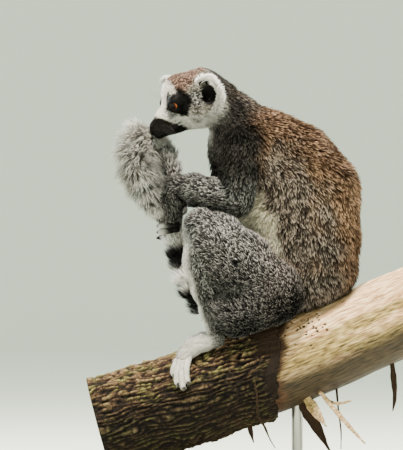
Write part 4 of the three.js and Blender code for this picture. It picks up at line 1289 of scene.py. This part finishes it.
def unrolled(places, radius, turns):
    """Points of a straight round bar, on which the branch's patterns are worked out."""
    around = [radius * np.sin(turns) + 0 * places, radius * np.cos(turns) + 0 * places]
    return np.stack([places, *around], -1).reshape(-1, 3)


def lay(mesh, name, values):
    mesh.attributes.new(name, "FLOAT", "POINT").data.foreach_set("value", values.astype(np.float32))


def bark_end(turns):
    """Where the bark ends along the branch, at each turn round it: a leaning, jagged edge."""
    lean = BARK_EDGE + BARK_EDGE_LEAN * BARK_RADIUS * np.cos(turns)
    ring = unrolled(0 * turns, BARK_RADIUS, turns)
    return lean - 2 - 3 * np.abs(wobble(ring, 16, 31)) - 2.2 * wobble(ring, 5, 32)


def bark_mesh():
    """Sleeve of bark with long furrows, worn smooth where it ends."""
    rows, columns = 260, 250
    turns = np.linspace(-math.pi, math.pi, columns, endpoint=False)
    places = BRANCH_START + np.linspace(0, 1, rows)[:, None] * (bark_end(turns) - BRANCH_START)
    flat = unrolled(places, BARK_RADIUS, turns)
    phase = np.tile(turns / (2 * math.pi), rows)
    first = phase * RIDGES + wobble(flat * (0.3, 1, 1), 21, 41) + 0.45 * wobble(flat * (0.35, 1, 1), 6, 42)
    second = phase * (RIDGES - 17) + 1.1 * wobble(flat * (0.3, 1, 1), 13, 43) - flat[:, 0] / 55
    ridge = np.abs(np.sin(math.pi * first)) ** 0.9 * (0.35 + 0.65 * np.abs(np.sin(math.pi * second)) ** 0.8)
    crack = np.abs(wobble(flat * 0.8, 6, 44))
    ridge = ridge * (0.6 + 0.4 * smooth_step(crack, 0.02, 0.2)) + 0.16 * wobble(flat * (0.6, 1, 1), 1.7, 45)
    worn = smooth_step(flat[:, 0] + 9 * wobble(flat, 11, 46) + 3 * wobble(flat, 3, 47), 24, 38)
    ridge = ridge * (1 - 0.75 * worn) + 0.3 * worn
    radius = (BARK_RADIUS - 3.6 + 4.6 * ridge + 1.3 * wobble(flat, 30, 48)).reshape(rows, columns)
    inner = np.full((2, columns), BARK_INSIDE)
    points = round_branch(np.vstack([places, places[-1:], places[:1]]), np.vstack([radius, inner]), turns)
    mesh = new_mesh("bark", points, [wrap_quads(rows + 2, columns, closed=True)])
    under = smooth_step(np.cos(turns), 0.8, -0.1)  # painted shade, darker the further the bark turns downwards
    cut = np.ones(2 * columns)
    # the ridge height also sets the painted shade in the furrows
    lay(mesh, "height", np.append(ridge.clip(0, 1), 0.2 * cut))
    lay(mesh, "worn", np.append(worn, cut))
    lay(mesh, "under", np.append(np.tile(under, rows), cut))
    return mesh


def beetle_holes(flat, turns):
    """How deep in a beetle's hole each point of the wood lies."""
    own = np.random.default_rng(56)
    holes = np.zeros(len(flat))
    for _ in range(BORE_HOLES):
        at = own.uniform(*BORE_REACH), own.normal(BORE_SIDE, 0.32)
        wide = own.uniform(0.6, 1.4)
        arc = 48 * np.abs(turns - at[1])
        holes = np.maximum(holes, smooth_step(np.hypot(flat[:, 0] - at[0], arc), wide + 0.5, wide - 0.2))
    return holes


def wood_mesh():
    """Wood of the branch: core under the bark, bare length behind it and the sawn ends."""
    columns = 230
    turns = np.linspace(-math.pi, math.pi, columns, endpoint=False)
    turns = turns - 0.45 * np.sin(turns - BORE_SIDE)  # closer together where the holes are
    edge = bark_end(turns)
    bare = np.interp(np.linspace(0, 1, 180), [0, 0.15, 0.58, 1], [10, *BORE_REACH, BRANCH_END])[1:]
    x = np.append(np.linspace(BRANCH_START + 0.8, 10, 12), bare)[:, None] + 0 * turns
    bare_radius = WOOD_RADIUS - WOOD_TAPER * np.maximum(x, 0)
    radius = WOOD_CORE + (bare_radius - WOOD_CORE) * smooth_step(x, edge - 1.5, edge + 9)
    flat = unrolled(x, 50, turns)
    grain = wobble(flat * (0.08, 1, 1), 1.6, 51) * 0.12 + wobble(flat * (0.12, 1, 1), 6, 52) * 0.35
    crack = np.abs(wobble(flat * (0.06, 1, 1), 9, 53))
    crack = smooth_step(crack, 0.045, 0.0) * smooth_step(wobble(flat, 30, 54), 0.0, 0.4)
    lumps = wobble(flat, 34, 55) * 0.9
    holes = beetle_holes(flat, np.tile(turns, len(x)))
    from_edge = (x - edge).ravel()
    on_bare = smooth_step(from_edge, -2, 6)
    change = (grain - 1.1 * crack + lumps - 1.2) * on_bare - 1.6 * holes * on_bare
    radius = radius + change.reshape(x.shape)
    cut = np.linspace(1, 0.02, 14)[1:, None] + 0 * turns  # rings of the sawn ends, as shares of the radius
    wave = 0.25 * np.sin(52 * cut)
    places = np.vstack([x[0] - wave[::-1], x, x[-1] + wave])
    points = round_branch(places, np.vstack([radius[0] * cut[::-1], radius, radius[-1] * cut]), turns)
    hubs = len(points), len(points) + 1
    points = np.concatenate([points, from_axis(x[[0, -1], 0], 0, 0)])
    mesh = new_mesh("bare_wood", points, tube_faces(len(places), columns, hubs=hubs))

    def capped(values, end=0.0):
        values = np.broadcast_to(values, x.shape)
        return np.append(np.pad(values, ((len(cut),) * 2, (0, 0)), constant_values=end), [end, end])

    peeled = smooth_step(from_edge + 5 * wobble(flat, 12, 57), 16, 2)
    # painted shade in the beetle holes and cracks
    pit = np.maximum(holes * on_bare, 0.8 * crack * on_bare)
    lay(mesh, "pit", capped(pit.reshape(x.shape)))
    lay(mesh, "sawn", capped(0.0, 1.0))
    # painted shade on the underside of the bare wood
    lay(mesh, "under", capped(smooth_step(np.cos(turns), 0.0, -0.5)))
    lay(mesh, "side", capped(smooth_step(np.cos(turns), 0.8, 0.1)))
    lay(mesh, "ring", np.append(np.vstack([cut[::-1], 0 * x, cut]), [0, 0]))
    lay(mesh, "peeled", capped(peeled.reshape(x.shape)))
    return mesh


# Torn strips under the branch: x, y, z and half the width of each, from where it holds to its free end.
BARK_STRIPS = [
    [(70, -6, -14, 6), (78, -9, -32, 8), (90, -9, -54, 6.5), (101, -7, -74, 1.5)],
    [(108, -4, -2, 1.3), (110, -12, -28, 1.0), (113, -10, -52, 0.9), (113, -8, -72, 0.5)],
    [(168, -4, 24, 2.4), (170, -8, 2, 3.2), (171, -8, -16, 2.6), (169, -6, -31, 0.7)],
    [(19, -50.5, 4, 0.9), (22, -50.5, -14, 1.2), (23, -45, -34, 1.0), (30, -34, -46, 1.3),
     (36, -30, -60, 0.8), (42, -28, -70, 0.4)],
    [(13, -12, -40, 3.2), (16, -12, -54, 2.6), (19, -11, -65, 0.6)],
    [(78, 14, -16, 4), (84, 18, -36, 5), (86, 17, -52, 1)],
]
WOOD_STRIPS = [
    [(72, -18, -12, 3.5), (82, -24, -26, 6), (90, -24, -38, 4.5), (97, -20, -47, 1)],
    [(86, -14, -12, 1.6), (91, -24, -11, 2.0), (100, -27, -22, 2.8), (112, -25, -36, 2.4),
     (126, -20, -52, 2.2), (139, -18, -66, 0.7)],
    [(98, -20, -20, 1.8), (110, -26, -22, 1.9), (123, -31, -19, 1.3)],
]


def strips_mesh(name, strips):
    """Thin, flat, slightly twisted strips with pointed free ends."""
    points, faces = [], []
    sides, rings = 8, 26
    for n, rows in enumerate(strips):
        path = smooth_path(rows, rings)
        centre, half = path[:, :3], path[:, 3:]
        way = unit(np.gradient(centre, axis=0))
        side = unit(np.cross(way, (0.15, 1, 0.1)))
        twist = (np.linspace(0, 0.8, rings) * (-1) ** n)[:, None]
        flat = np.cos(twist) * side + np.sin(twist) * np.cross(way, side)
        wide = half * (1 + 0.16 * wobble(centre, 5, 70 + n))[:, None]
        thick = np.minimum(0.45 * half + 0.25, 1.1)
        points.append(rings_round(centre, wide * flat, thick * np.cross(way, flat), sides))
        faces += tube_faces(rings, sides, n * rings * sides)
    mesh = new_mesh(name, np.concatenate(points), faces)
    lay(mesh, "worn", np.ones(len(mesh.vertices)))
    return mesh


# ---- Stand ----
def rod_mesh(place):
    """Round steel rod with a turned collar on the base, let into the wood at its top."""
    columns = 48
    floor = -SEAT_HEIGHT
    top = axis_height(place) - ROD_SEAT
    collar = [(12.2, 16), (12.6, 16.5), (12.6, 18.6), (12.0, 19.2), (7.6, 19.6), (6.6, 21)]
    profile = [(ROD_RADIUS, 5), (ROD_RADIUS, 16), *collar, (ROD_RADIUS, 23)]
    profile = [(radius, floor + height) for radius, height in profile]
    profile += [(ROD_RADIUS, top + height) for height in (-13, -3, 10)]
    radius, height = (np.array(column)[:, None] for column in zip(*profile))
    centres = np.array([place, 0, 0]) + height * (0, 0, 1)
    points = rings_round(centres, radius * (1, 0, 0), radius * (0, 1, 0), columns)
    hubs = len(points), len(points) + 1
    points = np.concatenate([points, centres[[0, -1]]])
    return new_mesh("rod", points, tube_faces(len(profile), columns, hubs=hubs))


def base_mesh():
    """Rounded oak board with a soft edge and a routed line round its side."""
    length, width, thick, corner = BOARD
    arc = np.linspace(0, math.pi / 2, 13)
    outline = []
    for n, (sx, sy) in enumerate([(1, 1), (-1, 1), (-1, -1), (1, -1)]):
        centre = np.array([sx * (length / 2 - corner), sy * (width / 2 - corner)])
        outline += [(centre, np.array([math.cos(t), math.sin(t)])) for t in arc + n * math.pi / 2]
    bend = np.linspace(0, math.pi / 2, 7)
    inset = [*(BOARD_EDGE * (1 - np.sin(bend))), 0, 0.7, 0.7, 0, *(BOARD_EDGE * (1 - np.cos(bend)))]
    up = [*(0.8 * BOARD_EDGE * (1 - np.cos(bend))), 6.4, 6.8, 7.6, 8.0]
    up += [*(thick - BOARD_EDGE + BOARD_EDGE * np.sin(bend))]
    rows = [[(*(c + (corner - shrink) * d), z) for c, d in outline] for shrink, z in zip(inset, up)]
    points = np.array(rows).reshape(-1, 3) - (SEAT[0], 0, SEAT_HEIGHT)
    return new_mesh("base", points, tube_faces(len(rows), len(outline)))


# ---- Stage ----
VIEW_CENTRE = Vector((-57.3 * MM, 0, 301.6 * MM))
VIEW_HEIGHT = 486 * MM
VIEW_DISTANCE = 4.5
FLOOR_REACH = 5.5  # flat part of the floor, from its middle
FLOOR_BEND = 3.0
WALL_HEIGHT = 6.0
# Place, size, watts and colour of each lamp that is turned to the animal.
LAMPS = {
    "key": ((-0.2, -0.8, 2.3), 0.4, 185, "#fff4e2"),
    "fill": ((0.6, -2.4, 0.5), 2.2, 7, "#eef4ff"),
    "rim": ((0.8, 0.9, 1.9), 0.6, 120, "#fffaf0"),
    "rim_left": ((-1.5, 0.8, 0.8), 0.8, 40, "#f8fcff"),
}


def light(name, place, size, watts, warmth, target=VIEW_CENTRE):
    lamp = bpy.data.lights.new(name, "AREA")
    lamp.size = size
    lamp.energy = watts
    lamp.color = linear(warmth)
    shown = bpy.data.objects.new(name, lamp)
    bpy.context.scene.collection.objects.link(shown)
    shown.location = place
    shown.rotation_euler = (Vector(target) - Vector(place)).to_track_quat("-Z", "Y").to_euler()


def floor_mesh():
    """Round floor that curves up into a backdrop on all sides."""
    bend = np.linspace(0, math.pi / 2, 25)
    reach = [0.02, 1, 3, *(FLOOR_REACH + FLOOR_BEND * np.sin(bend)), FLOOR_REACH + FLOOR_BEND]
    reach = np.array(reach)[:, None]
    rise = np.array([0, 0, 0, *(FLOOR_BEND * (1 - np.cos(bend))), WALL_HEIGHT])[:, None]
    sides = 96
    points = rings_round(rise * (0, 0, 1), reach * (1, 0, 0), reach * (0, 1, 0), sides)
    points = np.concatenate([points, [[0, 0, 0]]]) / MM - SEAT
    i = np.arange(sides)
    middle = np.stack([0 * i + len(points) - 1, i, (i + 1) % sides], 1)
    return new_mesh("floor", points, [wrap_quads(len(reach), sides)[:, ::-1], middle])


def set_stage():
    """Pale floor and backdrop, soft lights and a level camera."""
    new_object("floor", floor_mesh(), material_of(pale_paper))
    for name, lamp in LAMPS.items():
        light(name, *lamp)
    for n in range(4):
        turn = math.pi / 4 + n * math.pi / 2
        wall = (6.5 * math.cos(turn), 6.5 * math.sin(turn), 2.2)
        light(f"wall_{n}", (3 * math.cos(turn), 3 * math.sin(turn), 4.5), 1.5, 260, "#f4fbf2", wall)
    world = bpy.data.worlds.new("studio")
    world.use_nodes = True
    world.node_tree.nodes["Background"].inputs["Color"].default_value = rgba("#e4ebe6")
    world.node_tree.nodes["Background"].inputs["Strength"].default_value = 0.35
    bpy.context.scene.world = world
    lens = bpy.data.cameras.new("camera")
    lens.sensor_width = 36
    lens.lens = 36 * VIEW_DISTANCE / VIEW_HEIGHT
    lens.clip_end = 30
    camera = bpy.data.objects.new("camera", lens)
    camera.location = VIEW_CENTRE - Vector((0, VIEW_DISTANCE, 0))
    camera.rotation_euler = (math.pi / 2, 0, 0)
    bpy.context.scene.collection.objects.link(camera)
    bpy.context.scene.camera = camera


# ---- Pieces ----
def new_object(name, mesh, material):
    piece = bpy.data.objects.new(name, mesh)
    bpy.context.scene.collection.objects.link(piece)
    mesh.materials.append(material)
    return piece


def dress(name, mesh, material, slot, *nodes):
    """Makes a piece on the still body; its slot is not used. It stands in for the given nodes, where there are any.
    """
    piece = new_object(name, mesh, material)
    if nodes:
        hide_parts(*nodes)
    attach(piece, "root")


def main():
    skin, nails = skin_shape()
    flesh = [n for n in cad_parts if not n.startswith(("stand_", "perch_", "eye_"))]
    hide = new_mesh("skin", skin["points"], [skin["faces"]])
    paint(hide, skin["root"])
    dress("skin", hide, material_of(lemur_hide), "coat", *flesh)
    normals = mesh_normals(hide)
    fur = material_of(lemur_guard_hair)
    for n, name in enumerate(COATS_MADE):
        dress(f"coat_{name}", coat_mesh(f"coat_{name}", sample(skin, normals, n)), fur, "coat")
    eye = material_of(wet_orange_eye)
    for side, name in ((1, "left"), (-1, "right")):
        dress(f"eyeball_{name}", eyeball_mesh(side), eye, "eye", f"eye_{name}")
    horn = material_of(dark_horn)
    dress("nails", nails_mesh(nails), horn, "skin")
    dress("whiskers", whiskers_mesh(), horn, "coat")
    bark, wood, steel = (material_of(surface) for surface in (furrowed_bark, weathered_bare_wood, brushed_steel))
    dress("bark", bark_mesh(), bark, "bark", "perch_bark")
    dress("bare_wood", wood_mesh(), wood, "bare_wood", "perch_wood")
    dress("stand_board", base_mesh(), material_of(stained_oak), "stand_wood", "stand_base")
    dress("bark_strips", strips_mesh("bark_strips", BARK_STRIPS), bark, "bark")
    dress("wood_strips", strips_mesh("wood_strips", WOOD_STRIPS), wood, "bare_wood")
    for name, place in ROD_PLACES.items():
        dress(f"stand_bar_{name}", rod_mesh(place), steel, "stand_metal", f"stand_rod_{name}")
    set_stage()


main()
